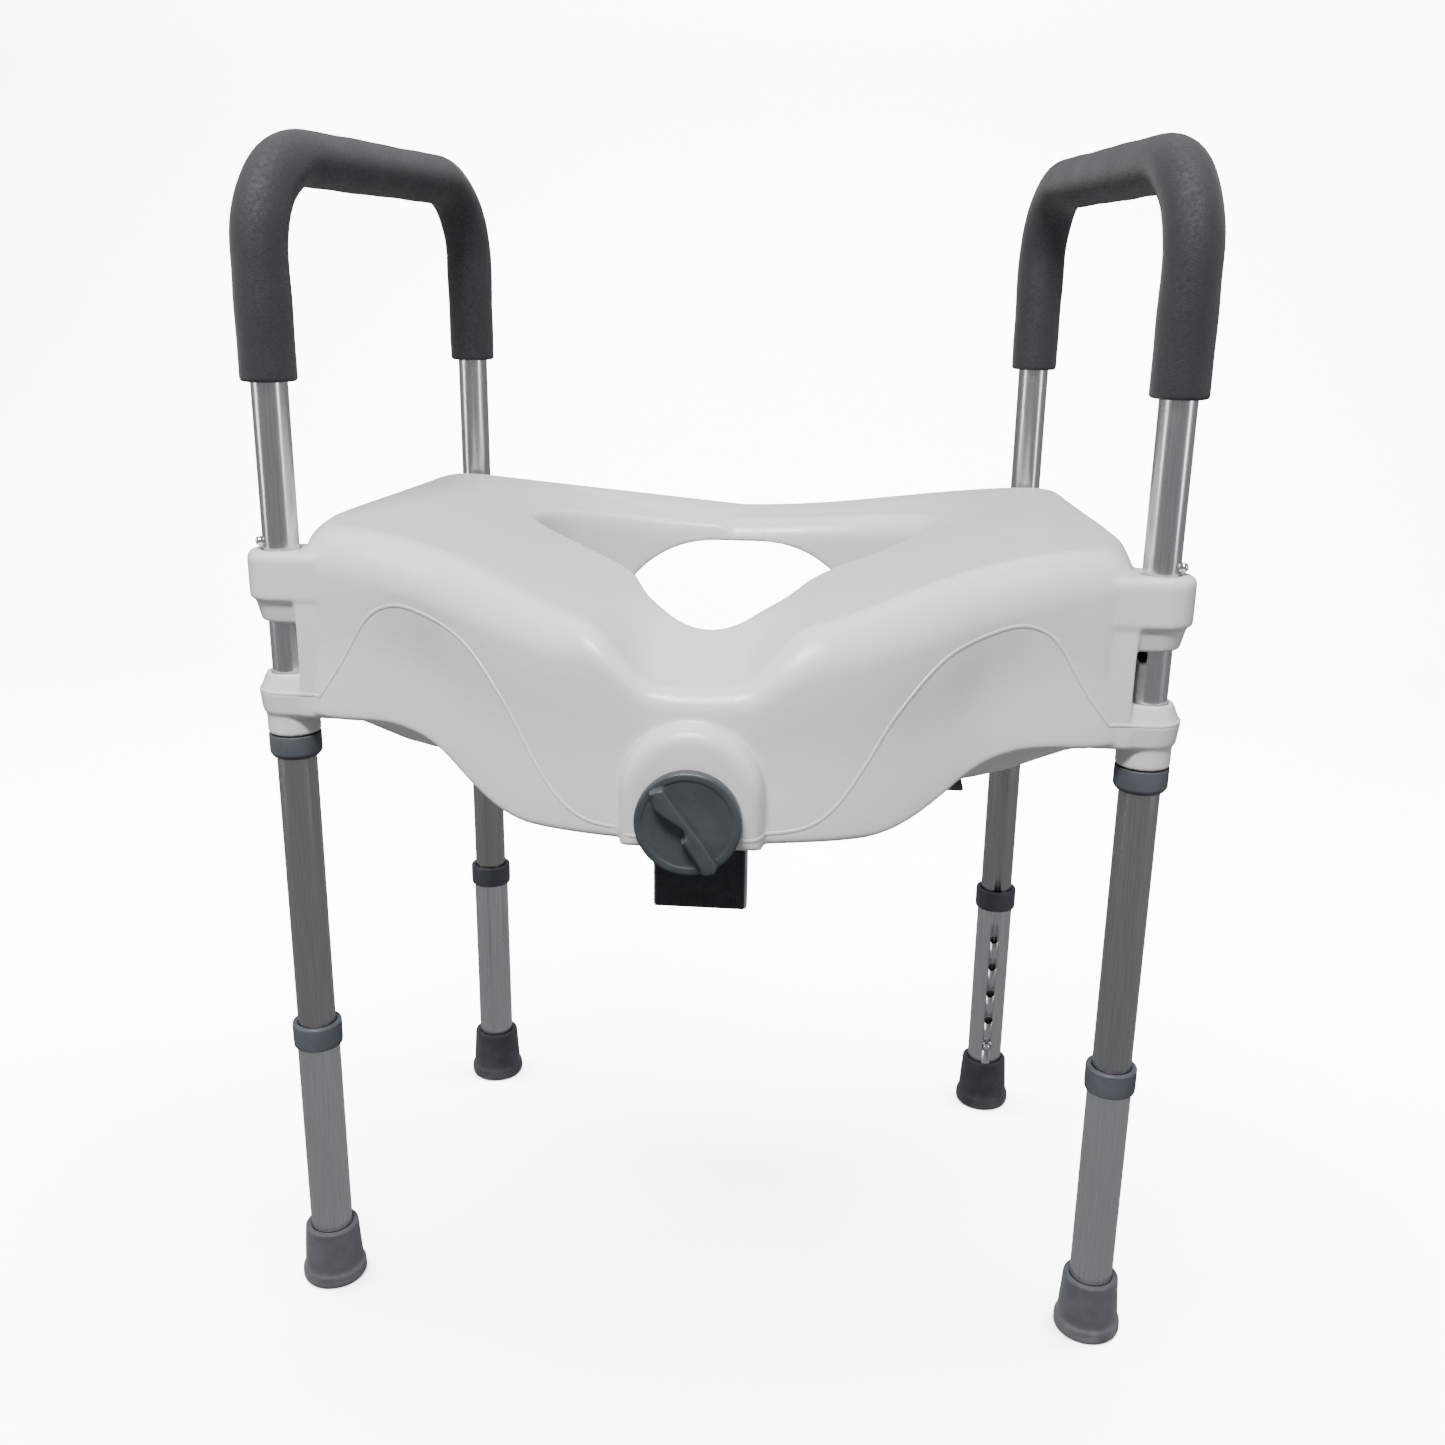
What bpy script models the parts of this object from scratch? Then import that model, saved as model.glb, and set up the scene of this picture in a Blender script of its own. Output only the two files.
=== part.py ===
"""Raised toilet seat on four telescopic legs, with two padded handles and a bowl clamp.

The seat is one hollow moulded shell with a lug at each corner. A handle tube drops through each
pair of lugs into the leg tubes below. Metres, +Z up, the user faces -Y, the floor is Z = 0.
"""

import math

import bmesh
import bpy
from mathutils import Matrix, Vector

# ---- driving dimensions -------------------------------------------------------------------------
FIT = 0.0003                 # gap kept between pieces that touch

# Leg frame: tube axes from the middle plane, and from the middle of the tube rectangle.
LEG_FRONT_X = 0.2683
LEG_REAR_X = 0.2188
LEG_HALF_SPAN = 0.1455

# Tubes
HANDLE_TUBE_R = 0.0111
TUBE_WALL = 0.0012
TUBE_GAP = 0.0004            # radial running gap between one tube and the next
LEG_UPPER_R = HANDLE_TUBE_R + TUBE_WALL + TUBE_GAP
LEG_LOWER_R = LEG_UPPER_R + TUBE_WALL + TUBE_GAP
HOLE_START = 0.002           # a hole cutter starts this far from the tube axis

# Feet
FOOT_HEIGHT = 0.042
FOOT_TOP_R = LEG_LOWER_R + 0.0042
FOOT_SOLE_R = LEG_LOWER_R + 0.0081
FOOT_FLOOR = 0.006
WASHER_THICKNESS = 0.0015
FOOT_WASHER_HOLE_R = 0.004

# Telescopic legs
LOWER_TUBE_TOP = 0.2005
UPPER_TUBE_BOTTOM = 0.045
COLLAR_WALL = 0.0023
COLLAR_R = LEG_LOWER_R + COLLAR_WALL
COLLAR_LIP = 0.0022
COLLAR_DEPTH = 0.0145
FERRULE_HEIGHT = 0.0154
LEG_BUTTON_Z = 0.058
LEG_HOLE_PITCH = 0.0254
LEG_HOLE_COUNT = 5

# Spring clips
BUTTON_R = 0.003
BUTTON_REACH = 0.0046        # how far a button stands out of its tube
HOLE_CLEARANCE = 0.0005
CLIP_STRIP = 0.0008

# Seat shell
SEAT_TOP = 0.545             # outer rim of the deck, above the floor
SEAT_DEPTH = 0.159           # from the rim down to the flat underside that rests on the bowl
SEAT_WALL = 0.0032
DISH_DEPTH = 0.047
REAR_RISE = 0.030
DISH_HALF_WIDTH = 0.238
NOTCH_DEPTH = 0.026
NOTCH_FLAT = 0.022
NOTCH_HALF_WIDTH = 0.064
FRONT_DROP = 0.162           # rim to the skirt's lower edge: front middle, corners, sag at the sides
CORNER_DROP = 0.118
SIDE_SAG = 0.018
FRONT_FLAT = 0.095
FRONT_RISE = 0.115
SKIRT_DRAFT = 0.004
VALLEY_DEPTH = 0.009
VALLEY_X = 0.178
VALLEY_WIDTH = 0.034
SIDE_EDGE_R = 0.012
CORNER_EDGE_R = 0.026
NOTCH_EDGE_R = 0.015
OPENING_EDGE_R = 0.0065
OPENING_REAR_EDGE_R = 0.019
BOTTOM_EDGE_R = 0.004
ARCH_DROP = 0.040            # rim to the underside of the rear bridge
ARCH_HALF_WIDTH = 0.098
ARCH_CORNER_R = 0.080
ARCH_FLARE = 0.006
ARCH_FRONT_Y = 0.030
VENT_R = 0.004
VENT_SPOTS = ((0.165, -0.100), (0.165, 0.020))

# Corner lugs
LUG_WALL = 0.0083            # plastic between the tube's bore and the lug's outside
LUG_R = LEG_UPPER_R + LUG_WALL
LUG_STEP = 0.015             # rim of the deck to the lug's top
LUG_RING = 0.030             # height of the top ring
LUG_TAPER = 0.015
LUG_LEDGE = 0.003
LUG_NECK_R = LEG_UPPER_R + 0.0018
WINDOW_HEIGHT = 0.033
LUG_SLOPE = 0.011
LUG_FOOT = 0.016
LUG_INSET = 0.045
WINDOW_WALL = LEG_UPPER_R + 2 * FIT   # from the tube axis to the wall behind the window
SLEEVE_R = COLLAR_R
SLEEVE_HEIGHT = 0.0143
LEG_STOP_DROP = 0.0055       # window's lower edge to the step that stops the leg tube

# Handles
HANDLE_RISE = 0.216          # rim of the deck to the middle of the grip bar
HANDLE_BEND_R = 0.057
HANDLE_TAIL = 0.045          # length of handle tube below the lug
HANDLE_BUTTON_RISE = 0.0045
SPARE_HOLE_DROP = 0.049
SPARE_HOLE_R = 0.004
SPARE_HOLE_HEADING = 41
GRIP_WALL = 0.0061
GRIP_R = HANDLE_TUBE_R + GRIP_WALL
GRIP_DROP = 0.130            # grip bar down to the grip's ends

# Clamp
KNOB_RISE = 0.016            # flat underside up to the screw
KNOB_R = 0.0305
KNOB_DISC = 0.008
KNOB_RIB = 0.0075
KNOB_FACE = 0.002            # plastic left in front of the screw
BOSS_PROUD = 0.012           # how far the boss stands in front of the deck
BOSS_RISE = 0.053
BOSS_EDGE = 0.005
SCREW_R = 0.004
SCREW_LENGTH = 0.0907
WASHER_R = 0.009
FRONT_WALL = 0.023
CHANNEL_LENGTH = 0.0625
CHANNEL_WALL = 0.005
CHANNEL_CLEARANCE = 0.001
JAW_CLEARANCE = 0.003
JAW_HALF_WIDTH = 0.029
BOSS_HALF_WIDTH = JAW_HALF_WIDTH + 0.0125
JAW_DROP = 0.082             # screw axis to the jaw's lower edge
JAW_RISE = 0.011
JAW_REST = 0.040             # channel's front wall to the jaw at rest
JAW_THICKNESS = 0.008
PAD_THICKNESS = 0.004
PAD_MARGIN = 0.0015
PAD_TOP_DROP = 0.020
NUT_HALF_FLATS = 0.0065
NUT_THICKNESS = 0.0065
NUT_BLOCK_HALF = 0.012

# Bowl pads
BOWL_PAD_THICKNESS = 0.003
BOWL_PAD_HALF = (0.012, 0.020)
BOWL_PAD_SPOTS = {"front": (0.150, -0.110), "rear": (0.150, 0.000)}

ROUND = 20                   # sides of the leg tubes and their rings
BENT_ROUND = 16              # sides of the bent tubes and grips

# Right half of the deck outline, from the rear middle to the front middle. Each point is a share of
# the distance to the line through the tube axes, and a share of half the distance between them.
DECK_SHAPE = [
    (0.000, 0.852), (0.269, 0.856), (0.537, 0.859), (0.810, 0.866), (0.997, 0.859),
    (1.069, 0.770), (1.050, 0.412), (1.022, 0.000), (0.995, -0.412), (0.966, -0.790),
    (0.945, -1.017), (0.895, -1.141), (0.801, -1.192), (0.708, -1.223), (0.615, -1.265),
    (0.522, -1.347), (0.417, -1.464), (0.298, -1.563), (0.149, -1.625), (0.000, -1.649)]
FRONT_CORNER = 11            # the point where the side turns into the front
# Right half of the opening, the same way round: distance from the middle, and the same share.
OPENING_SHAPE = [
    (0.000, 0.481), (0.045, 0.474), (0.085, 0.433), (0.116, 0.351), (0.128, 0.289),
    (0.136, 0.220), (0.139, 0.131), (0.133, 0.021), (0.112, -0.103), (0.088, -0.206),
    (0.074, -0.275), (0.064, -0.351), (0.056, -0.454), (0.050, -0.591), (0.042, -0.770),
    (0.032, -0.928), (0.017, -1.058), (0.000, -1.107)]
# Finger rib on the knob, seen from the front, from the knob's middle.
KNOB_RIB_OUTLINE = [
    (-0.0215, 0.0200), (-0.0130, 0.0225), (-0.0042, 0.0097), (0.0097, -0.0083), (0.0172, -0.0205),
    (0.0160, -0.0255), (0.0095, -0.0282), (0.0042, -0.0190), (-0.0042, -0.0083), (-0.0008, -0.0061),
    (-0.0028, -0.0014), (-0.0139, 0.0055), (-0.0186, 0.0097)]

# ---- sizes that follow from the ones above ------------------------------------------------------


def leg_line_x(y):
    """Distance from the middle plane to the line through a front and a rear tube axis."""
    share = min(max((LEG_HALF_SPAN - y) / (2 * LEG_HALF_SPAN), 0.0), 1.0)
    return LEG_REAR_X + (LEG_FRONT_X - LEG_REAR_X) * share


DECK_OUTLINE = [(a * leg_line_x(b * LEG_HALF_SPAN), b * LEG_HALF_SPAN) for a, b in DECK_SHAPE]
OPENING_OUTLINE = [(x, b * LEG_HALF_SPAN) for x, b in OPENING_SHAPE]
REAR_Y = DECK_OUTLINE[0][1]
FRONT_Y = DECK_OUTLINE[-1][1]
CORNER_X, CORNER_Y = DECK_OUTLINE[FRONT_CORNER]

CONTACT_Z = SEAT_TOP - SEAT_DEPTH
FRONT_LOW_Z = SEAT_TOP - FRONT_DROP
CORNER_LOW_Z = SEAT_TOP - CORNER_DROP
ARCH_Z = SEAT_TOP - ARCH_DROP

LUG_TOP = SEAT_TOP - LUG_STEP
LUG_CREASE_Z = LUG_TOP - LUG_RING
WINDOW_TOP = LUG_CREASE_Z - LUG_TAPER
WINDOW_BOTTOM = WINDOW_TOP - WINDOW_HEIGHT
LUG_SLOPE_Z = WINDOW_BOTTOM - LUG_SLOPE
LUG_BOTTOM = LUG_SLOPE_Z - LUG_FOOT
SLEEVE_BOTTOM = LUG_BOTTOM - SLEEVE_HEIGHT
FERRULE_TOP = SLEEVE_BOTTOM - FIT
FERRULE_BOTTOM = FERRULE_TOP - FERRULE_HEIGHT
UPPER_TUBE_TOP = WINDOW_BOTTOM - LEG_STOP_DROP
LOWER_TUBE_BOTTOM = FOOT_FLOOR + WASHER_THICKNESS + 2 * FIT

HANDLE_TOP = SEAT_TOP + HANDLE_RISE
HANDLE_BOTTOM = LUG_BOTTOM - HANDLE_TAIL
HANDLE_BUTTON_Z = LUG_TOP + HANDLE_BUTTON_RISE
SPARE_HOLE_Z = LUG_TOP - SPARE_HOLE_DROP
GRIP_BOTTOM = HANDLE_TOP - GRIP_DROP

KNOB_Z = CONTACT_Z + KNOB_RISE
BOSS_FACE_Y = FRONT_Y - BOSS_PROUD
BOSS_TOP = KNOB_Z + BOSS_RISE
KNOB_BACK_Y = BOSS_FACE_Y - WASHER_THICKNESS - 2 * FIT
KNOB_FRONT_Y = KNOB_BACK_Y - KNOB_DISC - KNOB_RIB
CHANNEL_FRONT_Y = BOSS_FACE_Y + FRONT_WALL
CHANNEL_REAR_Y = CHANNEL_FRONT_Y + CHANNEL_LENGTH
CHANNEL_HALF_WIDTH = JAW_HALF_WIDTH + CHANNEL_CLEARANCE
CHANNEL_ROOF = KNOB_Z + JAW_RISE + JAW_CLEARANCE
JAW_FRONT_Y = CHANNEL_FRONT_Y + JAW_REST
FRAME_CENTRE_Y = -(KNOB_FRONT_Y + LEG_HALF_SPAN + FOOT_SOLE_R) / 2

CORNERS = {
    "front_left": (-LEG_FRONT_X, -LEG_HALF_SPAN),
    "front_right": (LEG_FRONT_X, -LEG_HALF_SPAN),
    "rear_left": (-LEG_REAR_X, LEG_HALF_SPAN),
    "rear_right": (LEG_REAR_X, LEG_HALF_SPAN)}
LUG_HEADINGS = {"front_left": 180, "front_right": 0, "rear_left": 90, "rear_right": 90}
LEG_BUTTON_HEADINGS = {"front_left": 90, "front_right": 90, "rear_left": 90, "rear_right": -90}
HANDLE_BUTTON_HEADINGS = {"front_left": 200, "front_right": -20, "rear_left": 160, "rear_right": 20}


# ---- general helpers ----------------------------------------------------------------------------
def material(name, colour, roughness, metallic=0.0):
    made = bpy.data.materials.new(name)
    made.use_nodes = True
    shader = made.node_tree.nodes["Principled BSDF"]
    shader.inputs["Base Color"].default_value = (*colour, 1.0)
    shader.inputs["Roughness"].default_value = roughness
    shader.inputs["Metallic"].default_value = metallic
    made.diffuse_color = (*colour, 1.0)
    return made


def add_empty(name, location, parent=None):
    empty = bpy.data.objects.new(name, None)
    empty.location = location
    empty.parent = parent
    bpy.context.scene.collection.objects.link(empty)
    return empty


def add_object(name, mesh, surface=None, parent=None, location=(0, 0, 0), heading=0.0):
    made = bpy.data.objects.new(name, mesh)
    made.location = location
    made.rotation_euler = (0, 0, math.radians(heading))
    made.parent = parent
    bpy.context.scene.collection.objects.link(made)
    if surface:
        mesh.materials.append(surface)
    return made


def finish_mesh(bm, name, smooth_degrees=35):
    bmesh.ops.recalc_face_normals(bm, faces=bm.faces)
    mesh = bpy.data.meshes.new(name)
    bm.to_mesh(mesh)
    bm.free()
    mesh.shade_smooth()
    mesh.set_sharp_from_angle(angle=math.radians(smooth_degrees))
    return mesh


def add_cutter(name, mesh, parent, location=(0, 0, 0), heading=0.0):
    cutter = add_object(name, mesh, None, parent, location, heading)
    cutter.hide_render = True
    cutter.display_type = 'WIRE'
    return cutter


def combine(target, tool, operation):
    modifier = target.modifiers.new(tool.name, 'BOOLEAN')
    modifier.object = tool
    modifier.operation = operation
    modifier.solver = 'EXACT'


def loft(rings, closed_loop=False):
    """Skin equal rings of points; the ends are capped unless the last ring meets the first."""
    bm = bmesh.new()
    rows = [[bm.verts.new(point) for point in ring] for ring in rings]
    count = len(rows[0])
    pairs = list(zip(rows, rows[1:]))
    if closed_loop:
        pairs.append((rows[-1], rows[0]))
    else:
        bm.faces.new(rows[0])
        bm.faces.new(rows[-1])
    for near, far in pairs:
        for i in range(count):
            j = (i + 1) % count
            bm.faces.new((near[i], near[j], far[j], far[i]))
    return bm


def lathe(profile, sides):
    """Turn a closed (radius, z) loop about Z; points on the axis are welded."""
    rings = []
    for i in range(sides):
        turn = 2 * math.pi * i / sides
        rings.append([(r * math.cos(turn), r * math.sin(turn), z) for r, z in profile])
    bm = loft(rings, closed_loop=True)
    bmesh.ops.remove_doubles(bm, verts=bm.verts, dist=0.00001)
    return bm


def disc_stack(profile, sides):
    """Solid of revolution from (radius, z) steps, with flat ends."""
    rings = []
    for r, z in profile:
        turns = [2 * math.pi * i / sides for i in range(sides)]
        rings.append([(r * math.cos(t), r * math.sin(t), z) for t in turns])
    return loft(rings)


def block_mesh(name, low, high):
    bm = bmesh.new()
    bmesh.ops.create_cube(bm, size=1.0)
    size = Vector(high) - Vector(low)
    middle = (Vector(high) + Vector(low)) / 2
    bmesh.ops.transform(bm, matrix=Matrix.Translation(middle) @ Matrix.Diagonal((*size, 1)),
                        verts=bm.verts)
    return finish_mesh(bm, name)


def rod_mesh(name, radius, start, end, sides=12):
    """Cylinder from one point to another."""
    start = Vector(start)
    end = Vector(end)
    bm = disc_stack([(radius, 0.0), (radius, (end - start).length)], sides)
    turn = (end - start).to_track_quat('Z', 'Y').to_matrix().to_4x4()
    bmesh.ops.transform(bm, matrix=Matrix.Translation(start) @ turn, verts=bm.verts)
    return finish_mesh(bm, name)


def smoothstep(value):
    value = min(max(value, 0.0), 1.0)
    return value * value * (3 - 2 * value)


def hollow_tube(radius, bottom, top):
    inner = radius - TUBE_WALL
    return lathe([(inner, bottom), (radius, bottom), (radius, top), (inner, top)], ROUND)


# ---- seat shell ---------------------------------------------------------------------------------
def closed_curve(half, per_span):
    """Closed Catmull-Rom curve through a half outline and its mirror image."""
    points = half + [(-x, y) for x, y in half[-2:0:-1]]
    count = len(points)
    curve = []
    for i in range(count):
        p0, p1, p2, p3 = [Vector(points[(i + k) % count]) for k in (-1, 0, 1, 2)]
        for step in range(per_span):
            t = step / per_span
            curve.append(0.5 * (2 * p1 + (p2 - p0) * t + (2 * p0 - 5 * p1 + 4 * p2 - p3) * t * t
                                + (3 * p1 - p0 - 3 * p2 + p3) * t ** 3))
    return curve


def deck_height(x, y):
    """Dished deck with a notch at the front middle."""
    dish = DISH_DEPTH - REAR_RISE * smoothstep(y / REAR_Y)
    across = min(abs(x) / DISH_HALF_WIDTH, 1.0)
    height = SEAT_TOP - dish * math.cos(math.pi / 2 * across) ** 2
    along = smoothstep((CORNER_Y + 0.037 - y) / 0.110)
    beside = smoothstep((NOTCH_HALF_WIDTH - abs(x)) / (NOTCH_HALF_WIDTH - NOTCH_FLAT))
    return height - NOTCH_DEPTH * along * beside


def shoulder_radius(x, y):
    """Radius of the roll from the deck into the skirt: broad at the front, tighter in the notch."""
    front = smoothstep((CORNER_Y + 0.067 - y) / 0.060)
    notch = smoothstep((0.090 - abs(x)) / 0.050)
    return SIDE_EDGE_R + front * (CORNER_EDGE_R - SIDE_EDGE_R + (NOTCH_EDGE_R - CORNER_EDGE_R) * notch)


def opening_radius(x, y):
    """Radius of the roll into the opening: broad along the rear bridge."""
    return OPENING_EDGE_R + (OPENING_REAR_EDGE_R - OPENING_EDGE_R) * smoothstep((y + 0.010) / 0.050)


def skirt_low(x, y):
    """Height of the skirt's lower edge: lowest at the front middle, highest at the lugs."""
    if y < CORNER_Y:
        rise = smoothstep((abs(x) - FRONT_FLAT) / FRONT_RISE)
        return FRONT_LOW_Z + (CORNER_LOW_Z - FRONT_LOW_Z) * rise
    along = min(max((y - CORNER_Y) / (REAR_Y - CORNER_Y), 0.0), 1.0)
    return CORNER_LOW_Z - SIDE_SAG * math.sin(math.pi * along)


def skirt_draft(x, y):
    """How far the skirt's foot stands out; it draws in at the valley beside each front corner."""
    if y > CORNER_Y + 0.01:
        return SKIRT_DRAFT
    return SKIRT_DRAFT - VALLEY_DEPTH * math.exp(-((abs(x) - VALLEY_X) / VALLEY_WIDTH) ** 2)


def arc(centre_s, centre_z, radius, start, end, steps):
    turns = [math.radians(start + (end - start) * i / steps) for i in range(steps + 1)]
    return [(centre_s + radius * math.cos(t), centre_z + radius * math.sin(t)) for t in turns]


def shell_section(inner, outer, inset, arc_steps, deck_steps):
    """Closed loop of points up the opening wall, over the deck, down the skirt and back below."""
    length = (outer - inner).length
    heading = (outer - inner) / length

    def spot(s):
        return inner + heading * s

    shoulder_r = shoulder_radius(*outer)
    shoulder_z = deck_height(*spot(length - shoulder_r))
    edge_r = opening_radius(*inner)
    edge_z = deck_height(*spot(edge_r))
    low_outer = skirt_low(*outer)
    foot_s = length + skirt_draft(*outer) - BOTTOM_EDGE_R

    loop = arc(BOTTOM_EDGE_R, CONTACT_Z + BOTTOM_EDGE_R, BOTTOM_EDGE_R - inset, 270, 180, 1)
    loop += arc(edge_r, edge_z - edge_r, edge_r - inset, 180, 90, arc_steps)
    deck_to = length - shoulder_r
    for i in range(1, deck_steps):
        s = edge_r + (deck_to - edge_r) * i / deck_steps
        loop.append((s, deck_height(*spot(s)) - inset))
    loop += arc(deck_to, shoulder_z - shoulder_r, shoulder_r - inset, 90, 0, arc_steps)
    loop += arc(foot_s, low_outer + BOTTOM_EDGE_R, BOTTOM_EDGE_R - inset, 0, -90, 1)
    for share in (0.82, 0.66, 0.50, 0.25):
        s = BOTTOM_EDGE_R + (foot_s - BOTTOM_EDGE_R) * share
        blend = smoothstep((share - 0.50) / 0.50)
        loop.append((s, CONTACT_Z + (low_outer - CONTACT_Z) * blend + inset))
    return [(*spot(s), z) for s, z in loop]


def shell_skin(inset, per_span, arc_steps, deck_steps):
    outer = closed_curve(DECK_OUTLINE, per_span)
    inner = closed_curve(OPENING_OUTLINE, per_span)
    rings = [shell_section(i, o, inset, arc_steps, deck_steps) for i, o in zip(inner, outer)]
    return loft(rings, closed_loop=True)


def arch_mesh(wall):
    """Cutter for the arch under the rear bridge, from the opening out through the rear skirt."""
    half = ARCH_HALF_WIDTH + wall
    top = ARCH_Z + wall
    corner = ARCH_CORNER_R
    flank = half + ARCH_FLARE
    outline = [(-flank, CONTACT_Z - 0.03), (flank, CONTACT_Z - 0.03)]
    for turn in range(0, 91, 10):
        t = math.radians(turn)
        outline.append((half - corner + corner * math.cos(t), top - corner + corner * math.sin(t)))
    outline += [(-x, z) for x, z in reversed(outline[2:])]
    rings = [[(x, y, z) for x, z in outline] for y in (ARCH_FRONT_Y - wall, REAR_Y + 0.036)]
    return finish_mesh(loft(rings), "arch")


def lug_mesh():
    """Corner lug about its tube axis, facing +X, with its root inside the shell."""
    side = LUG_R - 0.001
    levels = [
        (LUG_BOTTOM, LUG_R - 0.0025, LUG_R - 0.0025), (LUG_SLOPE_Z, side, side),
        (WINDOW_BOTTOM, LUG_NECK_R, side), (WINDOW_TOP, LUG_NECK_R, side),
        (LUG_CREASE_Z - 0.001, LUG_R - LUG_LEDGE, side), (LUG_CREASE_Z, LUG_R, LUG_R),
        (LUG_TOP - 0.003, LUG_R, LUG_R), (LUG_TOP, LUG_R - 0.0025, LUG_R - 0.0025)]
    rings = []
    for z, radius, flat in levels:
        turns = [math.radians(-90 + 180 * i / 8) for i in range(9)]
        ring = [(radius * math.cos(t), radius * math.sin(t), z) for t in turns]
        ring += [(-WINDOW_WALL, flat, z), (-LUG_INSET, flat, z)]
        ring += [(-LUG_INSET, -flat, z), (-WINDOW_WALL, -flat, z)]
        rings.append(ring)
    return finish_mesh(loft(rings), "lug")


def window_mesh():
    """Cutter that opens the lug around the handle tube."""
    half = LUG_R + 2 * FIT
    low = (-WINDOW_WALL, -half, WINDOW_BOTTOM)
    high = (2 * LUG_R, half, WINDOW_TOP)
    return block_mesh("window", low, high)


def bore_mesh():
    """Stepped bore: leg tube below, handle tube above."""
    wide = LEG_UPPER_R + FIT
    narrow = HANDLE_TUBE_R + 1.5 * FIT
    step = UPPER_TUBE_TOP + FIT
    profile = [(wide, SLEEVE_BOTTOM - 0.02), (wide, step), (narrow, step), (narrow, LUG_TOP + 0.02)]
    return finish_mesh(disc_stack(profile, ROUND), "bore")


def boss_mesh():
    """Arched boss on the front of the skirt, with its edge rounded off."""
    arch_z = BOSS_TOP - BOSS_HALF_WIDTH
    rings = []
    for depth, shrink in ((0.030, 0.0), (BOSS_EDGE, 0.0), (0.3 * BOSS_EDGE, 0.3 * BOSS_EDGE),
                          (0.0, BOSS_EDGE)):
        radius = BOSS_HALF_WIDTH - shrink
        y = BOSS_FACE_Y + depth
        turns = [math.pi * i / 10 for i in range(11)]
        ring = [(radius * math.cos(t), y, arch_z + radius * math.sin(t)) for t in turns]
        ring += [(-radius, y, FRONT_LOW_Z - 0.002), (radius, y, FRONT_LOW_Z - 0.002)]
        rings.append(ring)
    return finish_mesh(loft(rings), "boss")


def build_seat(frame, surface):
    skin = finish_mesh(shell_skin(0.0, 2, 2, 4), "seat_shell", 50)
    shell = add_object("seat_shell", skin, surface, frame)
    half = CHANNEL_HALF_WIDTH + CHANNEL_WALL
    block = block_mesh("channel_block", (-half, FRONT_Y - 0.02, FRONT_LOW_Z - 0.02),
                       (half, CHANNEL_REAR_Y + 0.02, CHANNEL_ROOF + CHANNEL_WALL))
    cavity = add_cutter("cavity", finish_mesh(shell_skin(SEAT_WALL, 1, 1, 3), "cavity"), frame)
    combine(cavity, add_cutter("channel_block", block, frame), 'DIFFERENCE')
    combine(cavity, add_cutter("arch_wall", arch_mesh(SEAT_WALL), frame), 'DIFFERENCE')
    combine(shell, cavity, 'DIFFERENCE')
    combine(shell, add_cutter("arch", arch_mesh(0.0), frame), 'DIFFERENCE')

    lug = lug_mesh()
    sleeve_profile = [(SLEEVE_R, SLEEVE_BOTTOM), (SLEEVE_R, LUG_BOTTOM + 0.004)]
    sleeve = finish_mesh(disc_stack(sleeve_profile, ROUND), "sleeve")
    for corner, (x, y) in CORNERS.items():
        heading = LUG_HEADINGS[corner]
        combine(shell, add_cutter("lug_" + corner, lug, frame, (x, y, 0), heading), 'UNION')
        combine(shell, add_cutter("sleeve_" + corner, sleeve, frame, (x, y, 0), heading), 'UNION')

    combine(shell, add_cutter("boss", boss_mesh(), frame), 'UNION')
    channel = block_mesh("channel", (-CHANNEL_HALF_WIDTH, CHANNEL_FRONT_Y, FRONT_LOW_Z - 0.05),
                         (CHANNEL_HALF_WIDTH, CHANNEL_REAR_Y, CHANNEL_ROOF))
    combine(shell, add_cutter("channel", channel, frame), 'DIFFERENCE')
    screw_hole = rod_mesh("screw_hole", SCREW_R + 2 * FIT, (0, BOSS_FACE_Y - 0.01, KNOB_Z),
                          (0, CHANNEL_FRONT_Y + 0.01, KNOB_Z))
    combine(shell, add_cutter("screw_hole", screw_hole, frame), 'DIFFERENCE')

    window = window_mesh()
    bore = bore_mesh()
    for corner, (x, y) in CORNERS.items():
        heading = LUG_HEADINGS[corner]
        opening = add_cutter("window_" + corner, window, frame, (x, y, 0), heading)
        combine(shell, opening, 'DIFFERENCE')
        combine(shell, add_cutter("bore_" + corner, bore, frame, (x, y, 0), heading), 'DIFFERENCE')

    for side in (-1, 1):
        for x, y in VENT_SPOTS:
            spot = (side * x, y)
            vent = rod_mesh("vent", VENT_R, (*spot, CONTACT_Z - 0.02), (*spot, CONTACT_Z + 0.03), 8)
            combine(shell, add_cutter(f"vent_{side}_{y}", vent, frame), 'DIFFERENCE')


def build_bowl_pads(frame, surface):
    """Rubber pads between the underside and the bowl."""
    top = CONTACT_Z - FIT
    for side, name in ((-1, "left"), (1, "right")):
        for place, (x, y) in BOWL_PAD_SPOTS.items():
            half_x, half_y = BOWL_PAD_HALF
            low = (side * x - half_x, y - half_y, top - BOWL_PAD_THICKNESS)
            high = (side * x + half_x, y + half_y, top)
            pad = block_mesh("bowl_pad", low, high)
            add_object(f"bowl_pad_{place}_{name}", pad, surface, frame)


# ---- legs ---------------------------------------------------------------------------------------
def button_cutter(radius, reach, z, name):
    return rod_mesh(name, radius, (HOLE_START, 0, z), (reach, 0, z), 8)


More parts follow.
